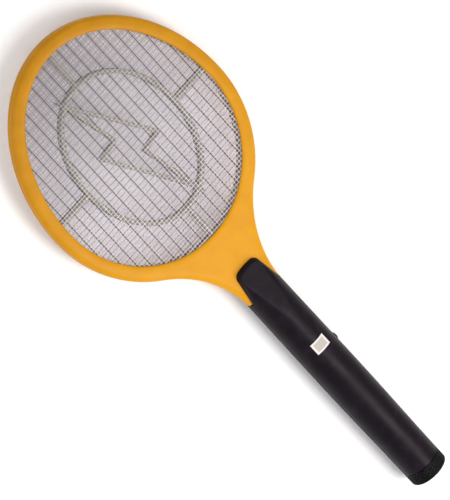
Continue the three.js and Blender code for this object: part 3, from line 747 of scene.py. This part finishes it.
def spacer():
    """A hoop in the rim's pocket, an oval ring on four spokes and a zigzag across the ring."""
    low, high = span("front_spacer")[0].z, span("front_spacer")[1].z
    steps = 144
    step_down = 0.15  # from the ring to the spokes, and to the zigzag
    hoop = swept(opening(NET_FIT - HOOP_WIDTH / 2, steps),
                 soft_bar_section(HOOP_WIDTH, low, high, 0.5), True)
    ring = oval(RING_HALF_WIDTH, RING_HALF_LENGTH, RING_HALF_LENGTH, full_turn(steps), RING_Y)
    ring = swept(ring, soft_bar_section(BAR_WIDTH, low, high, 1.1), True)
    bar = soft_bar_section(BAR_WIDTH, low + step_down, high - step_down, 1.0)
    edge = OPEN_HALF_WIDTH + SPOKE_FIT
    spokes = [(at(-edge, RING_Y), at(-RING_HALF_WIDTH, RING_Y)),
              (at(RING_HALF_WIDTH, RING_Y), at(edge, RING_Y)),
              (at(0, RING_Y + RING_HALF_LENGTH), at(0, HEAD_Y + OPEN_TOP + SPOKE_FIT)),
              (at(0, HEAD_Y - OPEN_BOTTOM - SPOKE_FIT), at(0, RING_Y - RING_HALF_LENGTH))]
    whole = united(hoop, *[swept([a, (a + b) / 2, b], bar) for a, b in spokes])
    return united(united(whole, ring), zigzag_band(low + 2 * step_down, high - 2 * step_down))


def zigzag_band(low, high):
    """The zigzag's bars as one closed band with mitred, softly rounded edges."""
    corners = [at(x, ZIGZAG_Y + y) for x, y in ZIGZAG]
    side, round_off, shave = ZIGZAG_WIDTH / 2, 0.8, 0.25
    inner = [(side, low + round_off), (side, high - round_off), (side - shave, high - shave),
             (side - round_off, high)]
    profile = [(-inset, z) for inset, z in inner] + inner[::-1]
    profile += [(side - round_off, low), (round_off - side, low)]
    return stacked([raised(inset_outline(corners, inset), z) for inset, z in profile],
                   wrap_rows=True)


def spacers(beige):
    piece("front_spacer_ring", spacer(), beige, "front_spacer")
    piece("rear_spacer_ring", mirrored(spacer()), beige, "rear_spacer")


# ---- handle


def eased(share):
    share = min(max(share, 0.0), 1.0)
    return share * share * (3 - 2 * share)


def handle_radius(y):
    """Radius of the barrel, which swells from both its ends to the belly."""
    end_y, end_radius = (HANDLE_END_Y, HANDLE_END_RADIUS) if y < BELLY_Y else (
        HANDLE_TOP_Y, HANDLE_TOP_RADIUS)
    return BELLY_RADIUS + (end_radius - BELLY_RADIUS) * eased((BELLY_Y - y) / (BELLY_Y - end_y))


def facet_height(y):
    """Height of the sloping thumb facet over the axis."""
    return handle_radius(FACET_START_Y) - FACET_SLOPE * (y - FACET_START_Y)


def soft_min(a, b, blend):
    """The smaller of two heights, with the crease between them rounded."""
    share = min(max(0.5 + 0.5 * (b - a) / blend, 0.0), 1.0)
    return b + (a - b) * share - blend * share * (1 - share)


FACET_BLEND = 0.9


def top_height(x, y, inset=0.0):
    """Height of the handle's front surface over a point of the plan."""
    radius = handle_radius(y) - inset
    if abs(x) >= radius:
        return 0.0
    return soft_min(sqrt(radius * radius - x * x), facet_height(y) - inset, FACET_BLEND)


def surface_point(angle, y, inset=0.0):
    """The surface's point at an angle from straight up, drawn in by inset."""
    low, high = 0.0, handle_radius(y) - inset
    rise = abs(cos(angle))
    if rise >= 0.3:  # the facet doesn't reach the flanks
        for _ in range(22):
            reach = (low + high) / 2
            if reach * rise < top_height(reach * sin(angle), y, inset):
                low = reach
            else:
                high = reach
    return around(high, angle, y)


def barrel_half(stations, steps=60):
    """The solid front half of the barrel, with a small chamfer along the seam."""
    rows = []
    for y in stations:
        seam = handle_radius(y)
        limit = acos(1.3 / seam)
        rows.append([(seam - 0.35, y, SPLIT), (seam - 0.02, y, 0.6)]
                    + [surface_point(angle, y) for angle in spread(limit, -limit, steps)]
                    + [(0.02 - seam, y, 0.6), (0.35 - seam, y, SPLIT)])
    return stacked(rows)


def barrel_core(low, high, inset):
    """The solid inside the barrel's wall."""
    return stacked([[surface_point(angle, y, inset) for angle in full_turn(48)]
                    for y in spread(low, high, 10)])


TONGUE_TIP_Y = span("handle_front")[1].y
TONGUE_HALF_WIDTH = 12.6
TONGUE_CORNER = 5.4
TONGUE_ARCH = 0.55  # drop from the tip's middle to its corners
TONGUE_BASE_Y = -40.0
TONGUE_TURN_Y = -31.0  # below this its sides run straight into the barrel
TONGUE_BASE_HALF_WIDTH = 16.2
TONGUE_DRAFT = 3.4  # rise of its side for each millimetre inwards
TONGUE_LOW = FACE_Z + 0.3


def tongue_outline():
    """The tongue's plan: straight sides, round corners and a gently arched tip."""
    side_top = TONGUE_TIP_Y - TONGUE_CORNER
    corner_in = TONGUE_HALF_WIDTH - TONGUE_CORNER
    turn_at, side_end = at(TONGUE_BASE_HALF_WIDTH, TONGUE_TURN_Y), at(TONGUE_HALF_WIDTH, side_top)
    right = [at(TONGUE_BASE_HALF_WIDTH, TONGUE_BASE_Y)]
    right += [turn_at.lerp(side_end, i / 12) for i in range(12)]
    right += bezier([side_end, at(TONGUE_HALF_WIDTH - 0.6, side_top + 2.6),
                     at(corner_in + 2.6, TONGUE_TIP_Y - 0.9),
                     at(corner_in, TONGUE_TIP_Y - TONGUE_ARCH)], 10)
    right += [at(corner_in * (1 - i / 6), TONGUE_TIP_Y - TONGUE_ARCH * (1 - i / 6) ** 2)
              for i in range(6)]
    return both_sides(right, TONGUE_TIP_Y)


def tongue():
    """The tongue over the neck, with drafted sides that round over to the facet."""
    outline = tongue_outline()
    hidden = 0.02  # keeps its surface just under the barrel's

    def height(x, y, inset):
        lift = 9 * eased((-25 - y) / 8)
        side = TONGUE_LOW + TONGUE_DRAFT * inset + lift * min(inset, 1)
        top = top_height(x, y)
        return max(min(soft_min(side, top, 1.5), top) - hidden, TONGUE_LOW + 0.1 * inset)

    rows = [raised(outline, TONGUE_LOW)]
    insets = (0.12, 0.3, 0.55, 0.85, 1.2, 1.6, 2.1, 2.8, 3.6)
    for inset in insets:
        rows.append([(p.x, p.y, height(p.x, p.y, inset)) for p in inset_outline(outline, inset)])
    rim = inset_outline(outline, insets[-1])
    spine = [at(0, min(max(p.y, -36.0), -13.0)) for p in rim]
    for share in (0.15, 0.3, 0.45, 0.6, 0.75, 0.9, 1.0):
        row = [p.lerp(q, share) for p, q in zip(rim, spine)]
        rows.append([(p.x, p.y, top_height(p.x, p.y) - hidden) for p in row])
    faces = shell_faces(len(rows), len(outline))[:-1]  # the last row closes on the spine
    return solid([point for row in rows for point in row], faces)


def thread(angle, y, radius):
    """A shallow round thread, as a change of radius."""
    return -0.17 * (1 - cos(2 * pi * y / THREAD_PITCH - angle))


def spigot():
    """The threaded end for the cap, with a small chamfer."""
    low, high, chamfer = SPIGOT_END_Y, HANDLE_END_Y + 2, 0.5
    profile = [(SPIGOT_RADIUS - chamfer, low)]
    profile += [(SPIGOT_RADIUS, y) for y in spread(low + chamfer, high, 44)]
    return cut(turned(profile, 72, thread), block((-30, low - 5, -30), (30, high + 5, SPLIT)))


def handle_stations():
    """Places along the barrel, closer together where its surface changes."""
    stations = [HANDLE_END_Y, HANDLE_END_Y + 0.25]
    y = HANDLE_END_Y + 2
    while y < HANDLE_TOP_Y - 1.4:
        stations.append(y)
        y += 4.0 if y < -70 else 1.3
    return stations + [HANDLE_TOP_Y - 0.3, HANDLE_TOP_Y]


def handle_shell():
    """One half of the handle: barrel, tongue and threaded spigot around the hollows."""
    made = united(barrel_half(handle_stations()), tongue(), spigot())
    cut(made, barrel_core(BULKHEAD_HIGH_Y, HANDLE_TOP_Y - 4, HANDLE_WALL),
        cylinder(BAY_RADIUS, BUTT_Y + BELOW, BULKHEAD_LOW_Y, 64))
    slot_half, slot_height = STEM_HALF_WIDTH + 0.3, STEM_HALF_HEIGHT + 0.3
    lead_holes = [moved(cylinder(1.4, BULKHEAD_LOW_Y - 1, BULKHEAD_HIGH_Y + 1, 20), (x, 0, 0))
                  for x in (-9, 9)]
    return cut(made, block((-slot_half, HANDLE_TOP_Y - 6, BELOW), (slot_half, 3, slot_height)),
               along_x(cylinder(4.2, 10, 30, 40), BUTTON_Y),
               along_x(cylinder(1.8, 10, 30, 28), LAMP_Y), *lead_holes)


def handle_halves(black):
    """Both halves; the rear one has the rails of the board and the wells of the screws."""
    reach = HANDLE_TOP_RADIUS - HANDLE_WALL / 2 - 0.4
    front, rear = [united(handle_shell(), *posts(SCREW_BOSSES, BOSS_RADIUS, SPLIT, reach))
                   for _ in range(2)]
    cut(front, *posts(SCREW_BOSSES, SCREW_HOLE, -1, 8, 20))
    united(rear, *posts(SCREW_BOSSES, 4.7, STEM_HALF_HEIGHT + 0.6, reach))
    united(rear, *[block((x - 1.9, BOARD_LOW.y + 2, 0.3 - BOARD_LOW.z),
                         (x + 1.9, BOARD_HIGH.y - 2, 7.6)) for x in (-13.3, 13.3)])
    cut(rear, *posts(SCREW_BOSSES, SCREW_HOLE, -1, 10, 20))
    cut(rear, *posts(SCREW_BOSSES, 3.1, 8.5, 30))
    for side, made in (("front", front), ("rear", mirrored(rear))):
        piece(f"handle_{side}_shell", made, black, f"handle_{side}",
              sharp=38)


KNURLS = 56


def knurl(angle, y, radius):
    """Grip ribs round the cap, fading towards its mouth and its end."""
    if radius < HANDLE_END_RADIUS - 0.5:
        return 0.0
    fade = eased((y - BUTT_Y - 1.4) / 1.6) * eased((CAP_MOUTH_Y - 0.9 - y) / 1.2)
    return -0.3 * fade * (1 - cos(KNURLS * angle)) / 2


def battery_cap(black):
    """A hollow cap with a dished end, a ribbed wall and a rounded mouth."""
    outer, inner = HANDLE_END_RADIUS, SPIGOT_RADIUS + 0.3
    profile = [(0.01, BUTT_Y + 0.25)] + [(outer - inset, BUTT_Y + rise) for inset, rise in (
        (6, 0.25), (5.4, 0), (2.2, 0), (1.3, 0.22), (0.6, 0.7), (0.2, 1.3))]
    profile += [(outer, y) for y in spread(BUTT_Y + 1.9, CAP_MOUTH_Y - 0.4, 16)]
    profile += [(outer - 0.12, CAP_MOUTH_Y - 0.12), (outer - 0.4, CAP_MOUTH_Y),
                (inner + 0.2, CAP_MOUTH_Y), (inner, CAP_MOUTH_Y - 0.3), (inner, BUTT_Y + 2.5),
                (inner - 0.4, BUTT_Y + 2.1), (0.01, BUTT_Y + 2.1)]
    piece("knurled_battery_cap", turned(profile, KNURLS * 6, knurl), black, "battery_cap",
          body="cap")


# ---- label, button, lamp and screws


def label():
    """A thin sticker on the round of the handle, with slightly lifted corners."""
    low, high = span("label")
    gap, thick = 0.06, 0.14
    rows = []
    for y in spread(low.y, high.y, 16):
        past_y = max(0.0, abs(y - middle("label").y) / (high.y - low.y) * 2 - 0.7)
        row = []
        for lift, across in ((gap, (low.x, high.x)), (gap + thick, (high.x, low.x))):
            for x in spread(*across, 28):
                corner = max(0.0, abs(x) / high.x - 0.75) * past_y
                tall = handle_radius(y) + lift + 1.1 * corner
                row.append((x, y, sqrt(tall * tall - x * x)))
        rows.append(row)
    piece("paper_label", stacked(rows), label_paper(), "label")


def push_button(black):
    """A domed button with a flange inside the handle."""
    low, high = span("push_button")
    shoulder, radius, flange, dome_at = 14.0, 3.9, 5.3, 18.0
    profile = [(0.01, low.x), (flange - 0.2, low.x), (flange, low.x + 0.2),
               (flange, shoulder - 0.2), (flange - 0.2, shoulder), (radius, shoulder + 0.1),
               (radius, dome_at)]
    profile += [(max(radius * max(cos(turn), 0) ** 0.8, 0.01),
                 dome_at + (high.x - dome_at) * sin(turn)) for turn in quarter_turn(12)]
    piece("push_button_dome", along_x(turned(profile, 48), BUTTON_Y), black, "push_button",
          body="button")


def plunger(white):
    low, high = span("switch_plunger")
    profile = [(1.0, low.x), (1.3, low.x + 0.2), (1.3, low.x + 2.4), (1.6, low.x + 2.6),
               (1.6, high.x - 0.3), (1.3, high.x)]
    piece("switch_plunger_pin", along_x(turned(profile), BUTTON_Y), white, "switch_plunger",
          body="button")


def lamp():
    """A round-ended lens with a flange inside the handle."""
    low, high = span("indicator_lamp")
    radius = 1.5
    profile = [(1.6, low.x), (1.9, low.x + 0.15), (1.9, low.x + 0.9), (radius, low.x + 1.05),
               (radius, high.x - radius)]
    profile += [(max(radius * cos(turn), 0.01), high.x - radius + radius * sin(turn))
                for turn in quarter_turn(8)]
    red = surface("lamp_lens", (1.2, 3, (0.42, 0.012, 0.008), (0.62, 0.03, 0.015)),
                  (1.2, 3, 0.12, 0.12), (0.5, 2, 0.01, 0.3), transmission_weight=0.35)
    piece("indicator_lamp_lens", along_x(turned(profile), LAMP_Y), red, "indicator_lamp")


def screw_mesh(head_radius, head_height, length):
    """A pan-head screw along +Z with a cross recess and a real thread."""
    core, ridge, pitch, step = 0.85, 0.35, 1.0, 0.125
    first = head_height + 0.8  # where the thread starts

    def thread_ridge(angle, y, radius):
        if radius > core + 0.01 or y < first:
            return 0.0
        share = (y / pitch - angle / (2 * pi)) % 1.0
        taper = eased((length - 0.4 - y) / 1.4)
        return ridge * taper * max(0.0, 1 - abs(share - 0.5) * 4)

    profile = [(0.01, 0.0)]
    profile += [(head_radius * share, y) for share, y in (
        (0.35, 0.03), (0.65, 0.16), (0.87, 0.42), (0.98, 0.75))]
    profile += [(head_radius, head_height - 0.15), (head_radius - 0.12, head_height),
                (core, head_height)]
    profile += [(core, first + step * i) for i in range(int((length - first - 0.8) / step))]
    made = along_z(turned(profile + [(0.4, length - 0.3), (0.01, length)], 24, thread_ridge))
    reach, arm, depth = head_radius * 0.62, head_radius * 0.13, head_height * 0.55
    return cut(made, united(block((-reach, -arm, -1), (reach, arm, depth)),
                            block((-arm, -reach, -1.1), (arm, reach, depth + 0.01))))


def screws(steel):
    chance = random.Random(5)
    for node in FRAME_SCREWS + HANDLE_SCREWS:
        low, high = span(node)
        head = (2.0, 1.4) if node in FRAME_SCREWS else (2.8, 2.0)
        made = moved(screw_mesh(*head, high.z - low.z), turn=("Z", chance.uniform(0, 90)))
        piece(f"{node}_cross_head", moved(made, (*middle(node).xy, low.z)), steel, node)


# ---- circuit


def board():
    """The board, with a notch for the button and a row of holes along each side."""
    notch = 6.0
    holes = posts([(x, y) for x in (-10.6, 10.0) for y in (-168, -152, -134, -90, -70)],
                  0.45, BOARD_LOW.z - 1, BOARD_HIGH.z + 1, 12)
    made = cut(soft_block(BOARD_LOW, BOARD_HIGH, 1.2, 0.15),
               block((10.8, BUTTON_Y - notch, BELOW), (14, BUTTON_Y + notch, 0)), *holes)
    piece("circuit_board_panel", made, laminate(), "circuit_board")


def transformer_core():
    """A ferrite block with two windows."""
    y = middle("transformer_core").y
    core = cut(soft_block(*span("transformer_core"), 0.5, 0.3), *[
        block((x - 1.7, y - 4.6, BELOW), (x + 1.7, y + 4.6, 9)) for x in (-4.1, 4.1)])
    grey = surface("ferrite", (0.3, 3, 0.03, 0.065), (0.3, 3, 0.6, 0.8), (0.3, 3, 0.03, 0.6),
                   specular=0.3)
    piece("ferrite_core", core, grey, "transformer_core")


def winding():
    """Copper wire round the core, with a swell for each turn."""
    low, high = span("transformer_winding")
    level, half_height = middle("transformer_winding").z, half("transformer_winding").z
    wire_pitch, crest = 0.56, 0.17
    rows = []
    for y in spread(low.y, high.y, 90):
        inset = crest - 0.16 * abs(sin(pi * (y - low.y) / wire_pitch))
        outline = rounded_rectangle(high.x - inset, half_height - inset, 1.2)
        rows.append([(x, y, level + z) for x, z in outline])
    rows += [[(x, y, 1.8 + z) for x, z in rounded_rectangle(2.8, 3.4, 0.3)]
             for y in (high.y, low.y)]
    copper = surface("copper_wire", (0.9, 4, (0.38, 0.11, 0.03), (0.56, 0.19, 0.06)),
                     (0.6, 3, 0.25, 0.4), (0.2, 2, 0.008, 0.4), metallic=0.9)
    piece("copper_turns", stacked(rows, wrap_rows=True), copper, "transformer_winding")


def transistor(epoxy):
    """A half-round case with a flat face and three legs down to the board."""
    low, high = span("transistor")
    x, radius = middle("transistor").x, half("transistor").x
    y = high.y - radius
    start = asin((low.y - y) / radius)
    rows = []
    for z, inset in ((low.z, 0.12), (low.z + 0.15, 0), (high.z - 0.35, 0), (high.z - 0.1, 0.12),
                     (high.z, 0.4)):
        rows.append([(x + (radius - inset) * cos(angle),
                      max(y + (radius - inset) * sin(angle), low.y + inset), z)
                     for angle in spread(start, pi - start, 28)])
    legs = posts([(x + step, y) for step in (-1.27, 0, 1.27)], 0.24, BOARD_HIGH.z, low.z + 0.2, 10)
    piece("transistor_case", united(stacked(rows), *legs), epoxy, "transistor")


def axial(ends, length):
    """A round part along +Y, from the (radius, y) pairs of one of its like ends."""
    return turned(ends + [(radius, length - y) for radius, y in reversed(ends)])


def resistor():
    """A body with swollen ends and four rings of paint."""
    low, high = span("bleed_resistor")
    centre = middle("bleed_resistor")
    radius, length = half("bleed_resistor").x, high.y - low.y
    rings = [(low.y + place, 0.28, colour) for place, colour in (
        (1.6, (0.20, 0.07, 0.02)), (3.3, (0.01, 0.01, 0.01)), (4.9, (0.55, 0.03, 0.02)),
        (7.3, (0.45, 0.30, 0.06)))]
    ends = [(0.01, 0.0)] + [(radius * share, y) for share, y in (
        (0.55, 0.02), (0.85, 0.2), (1, 0.6), (1, length * 0.2), (0.88, length * 0.3))]
    piece("banded_resistor", moved(axial(ends, length), (centre.x, low.y, centre.z)),
          banded("resistor_body", (0.60, 0.45, 0.26), rings, "Y"), "bleed_resistor")


def diodes():
    """Three glass-black cases, each with a ring at its cathode."""
    ring = [(span("diode_1")[1].x - 1.1, 0.35, (0.62, 0.62, 0.60))]
    case = banded("diode_case", (0.018, 0.018, 0.019), ring, "X")
    for node in ("diode_1", "diode_2", "diode_3"):
        low, high = span(node)
        radius = half(node).y
        ends = [(0.01, 0.0), (radius * 0.8, 0.02), (radius, 0.25)]
        made = moved(along_x(axial(ends, high.x - low.x)), (low.x, low.y + radius, middle(node).z))
        piece(f"{node}_ringed", made, case, node)


def capacitor():
    coat = plastic("capacitor_coat", (0.22, 0.035, 0.012), (0.32, 0.055, 0.02), (0.2, 0.35))
    node = "high_voltage_capacitor"
    piece("film_capacitor", soft_block(*span(node), 2.6, 1.7), coat, node)


def switch(epoxy):
    case = cut(soft_block(*span("switch_body"), 0.5, 0.35),
               along_x(cylinder(1.9, 5.2, 12), BUTTON_Y))
    piece("tact_switch_case", case, epoxy, "switch_body")


def net_lead(x, end_x, z):
    """The route from the board up the stem and the neck to a net in the rim."""
    top = BOARD_HIGH.z
    end = HEAD_Y - OPEN_BOTTOM - POCKET
    return [(x, -68, top + 1.1), (x, -62, top + 1.6), (x, -56, -0.6), (x, -40, 0), (x, -5, 0),
            (end_x, 14, z / 2), (end_x, end - 5, z), (end_x, end, z)]


def battery_lead(x):
    """The route from a contact through the bulkhead to the board."""
    top = BOARD_HIGH.z
    inner = x - copysign(1, x)
    return [(x, BULKHEAD_LOW_Y, 0), (x, BULKHEAD_HIGH_Y + 2, 0), (x, -178, -1.4),
            (inner, -172, top + 1.3), (inner, -168, top + 1.1)]


def leads():
    red = plastic("lead_red", (0.36, 0.015, 0.010), (0.46, 0.025, 0.014))
    yellow = plastic("lead_yellow", (0.52, 0.36, 0.03), (0.64, 0.46, 0.05))
    black = plastic("lead_black", (0.010, 0.010, 0.011), (0.018, 0.018, 0.019))
    net_z = 3.3
    for node, points, material in (("lead_front_net", net_lead(-8.4, -7, net_z), red),
                                   ("lead_grid", net_lead(-5.6, 0, 0), yellow),
                                   ("lead_rear_net", net_lead(7.4, 7, -net_z), red),
                                   ("lead_battery_plus", battery_lead(-9), red),
                                   ("lead_battery_minus", battery_lead(9), black)):
        made = swept(smooth_path(points), circle_section(0.78, 14))
        piece(f"{node}_wire", made, material, node)


# ---- cells and contacts


def cells():
    """Two cells with a nub at one end, laid opposite ways."""
    jacket = cell_jacket()
    for node, flipped in (("cell_left", False), ("cell_right", True)):
        low, high = span(node)
        radius, length = half(node).x, high.y - low.y
        top = length - 1  # the shoulder under the nub
        profile = [(0.01, 0.25)] + [(radius - inset, y) for inset, y in (
            (2.2, 0.25), (1.6, 0), (0.5, 0), (0.1, 0.25), (0.05, 0.8), (0, 1), (0, top - 1.6),
            (0.05, top - 1.4), (0.12, top - 0.5), (0.6, top - 0.05), (1.1, top),
            (1.5, top - 0.3))]
        profile += [(3.1, top - 0.3), (2.75, top - 0.1), (2.75, length - 0.4),
                    (2.5, length - 0.08), (0.01, length)]
        made = turned(profile, 56)
        if flipped:
            moved(made, (0, length, 0), ("X", 180))
        piece(f"{node}_can", moved(made, (middle(node).x, low.y, 0)), jacket, node)


def contacts(steel):
    """Stamped plates with a round boss."""
    for node in ("contact_plus", "contact_minus"):
        low, high = span(node)
        reach, x = half(node).x, middle(node).x
        boss = low.y + 0.16
        profile = [(0.35, high.y), (1, high.y), (1, boss), (0.62, boss), (0.5, low.y), (0.2, low.y)]
        rows = [[(x + px, y, pz) for px, pz in rounded_rectangle(
            reach * share, reach * share, 0.9 * share)] for share, y in profile]
        piece(f"{node}_stamping", stacked(rows), steel, node)


def cap_contact(steel):
    """The disc in the cap, dished between its edge and its middle."""
    low, high = span("cap_contact")
    radius, dish = high.x, high.y - 0.2
    profile = [(0.01, low.y), (radius - 0.2, low.y), (radius, low.y + 0.15),
               (radius, high.y - 0.15), (radius - 0.2, high.y), (radius - 1, high.y),
               (radius - 1.3, dish), (1.8, dish), (1.5, high.y), (0.01, high.y)]
    piece("cap_contact_disc", turned(profile, 72), steel, "cap_contact", body="cap_contacts")


def springs(steel):
    """The cap's two springs, narrowing away from the disc."""
    wire_radius, turns, narrowing = 0.4, 4, 2.0
    for node in ("cap_spring_left", "cap_spring_right"):
        low, high = span(node)
        x, wide = middle(node).x, half(node).x - wire_radius
        path = []
        for share in spread(0, 1, turns * 28):
            angle, reach = 2 * pi * turns * share, wide - narrowing * share
            rise = eased(share) * 0.35 + share * 0.65
            y = low.y + wire_radius + (high.y - low.y - 2 * wire_radius) * rise
            path.append(Vector((x + reach * cos(angle), y, reach * sin(angle))))
        coil = swept(path, circle_section(wire_radius), up=Vector((0, 1, 0)))
        piece(f"{node}_coil", coil, steel, node, body="cap_contacts")


# ---- scene


def stage():
    """A pale floor, wide enough for every view."""
    reach = 4.0
    mesh = bpy.data.meshes.new("floor")
    corners = [(-reach, -reach, 0), (reach, -reach, 0), (reach, reach, 0), (-reach, reach, 0)]
    mesh.from_pydata(corners, [], [(0, 1, 2, 3)])
    finish = Finish("floor", roughness=0.9, specular=0.1)
    finish.colour(finish.noise(400, 2), 0.90, 0.92)
    mesh.materials.append(finish.material)
    placed("floor", mesh)


def area_light(name, place, aim, size, power, colour):
    data = bpy.data.lights.new(name, "AREA")
    data.shape = "RECTANGLE"
    data.size, data.size_y = size
    data.energy = power
    data.color = colour
    light = placed(name, data)
    light.location = place
    light.rotation_mode = "QUATERNION"
    light.rotation_quaternion = (Vector(aim) - Vector(place)).to_track_quat("-Z", "Y")


def lights():
    world = bpy.data.worlds.new("studio")
    bpy.context.scene.world = world
    world.use_nodes = True
    background = world.node_tree.nodes["Background"].inputs
    background["Color"].default_value = (1.0, 0.98, 0.98, 1)
    background["Strength"].default_value = 0.66
    area_light("key", (0.22, -1.05, 1.45), (0.02, -0.06, 0), (0.8, 1.6), 27, (1.0, 0.985, 0.96))
    area_light("fill", (-1.3, 1.0, 1.7), (0, 0.05, 0), (1.8, 1.8), 17, (0.97, 0.98, 1.0))


def camera():
    """A long lens over the racket, which lies from upper left to lower right."""
    heading = radians(46.5)
    right_on_floor = at(cos(heading), -sin(heading))
    up_on_floor = at(sin(heading), cos(heading))
    from_left, from_top = 0.424, 0.0745
    above = sqrt(1 - from_left ** 2 - from_top ** 2)
    toward = -from_left * right_on_floor + from_top * up_on_floor + Vector((0, 0, above))
    right = (above * up_on_floor - Vector((0, 0, from_top))).cross(toward).normalized()
    up = toward.cross(right)
    data = bpy.data.cameras.new("camera")
    data.lens = 468
    data.sensor_width = 36
    data.clip_end = 50
    made = placed("camera", data)
    target, distance = Vector((-0.0006, 0.0147, AXIS_Z)), 5.24
    made.matrix_world = Matrix.Translation(target + toward * distance) @ Matrix(
        (right, up, toward)).transposed().to_4x4()
    bpy.context.scene.camera = made
    bpy.context.scene.view_settings.view_transform = "Standard"


def main():
    amber = amber_plastic()
    black = handle_plastic()
    # The near-white light tone gives the net wire painted sparkle in its patches.
    bright = wire_metal("net_wire", (0.72, 0.63, 0.70), (1.0, 0.95, 0.99), (0.25, 0.5), 0.25)
    # This dark grid wire colour is partly painted shade, for the grid's place between the two nets.
    grid_dark_and_shaded = wire_metal("grid_wire", (0.10, 0.09, 0.10), (0.20, 0.19, 0.20), (0.35, 0.5))
    beige = plastic("beige_plastic", (0.19, 0.183, 0.140), (0.27, 0.260, 0.205), specular=0.2)
    white = plastic("white_plastic", (0.66, 0.65, 0.62), (0.76, 0.75, 0.72))
    epoxy = plastic("black_epoxy", (0.010, 0.010, 0.011), (0.020, 0.020, 0.021))
    steel = surface("plated_steel", (2, 4, (0.50, 0.51, 0.53), (0.68, 0.69, 0.70)),
                    (0.8, 3, 0.22, 0.4), (0.25, 2, 0.01, 0.5), metallic=1.0)
    frames(amber)
    nets(bright, grid_dark_and_shaded)
    spacers(beige)
    handle_halves(black)
    battery_cap(cap_plastic())
    label()
    push_button(black)
    plunger(white)
    lamp()
    screws(steel)
    board()
    transformer_core()
    winding()
    transistor(epoxy)
    capacitor()
    resistor()
    diodes()
    switch(epoxy)
    leads()
    cells()
    contacts(steel)
    cap_contact(steel)
    springs(steel)
    stage()
    lights()
    camera()


main()
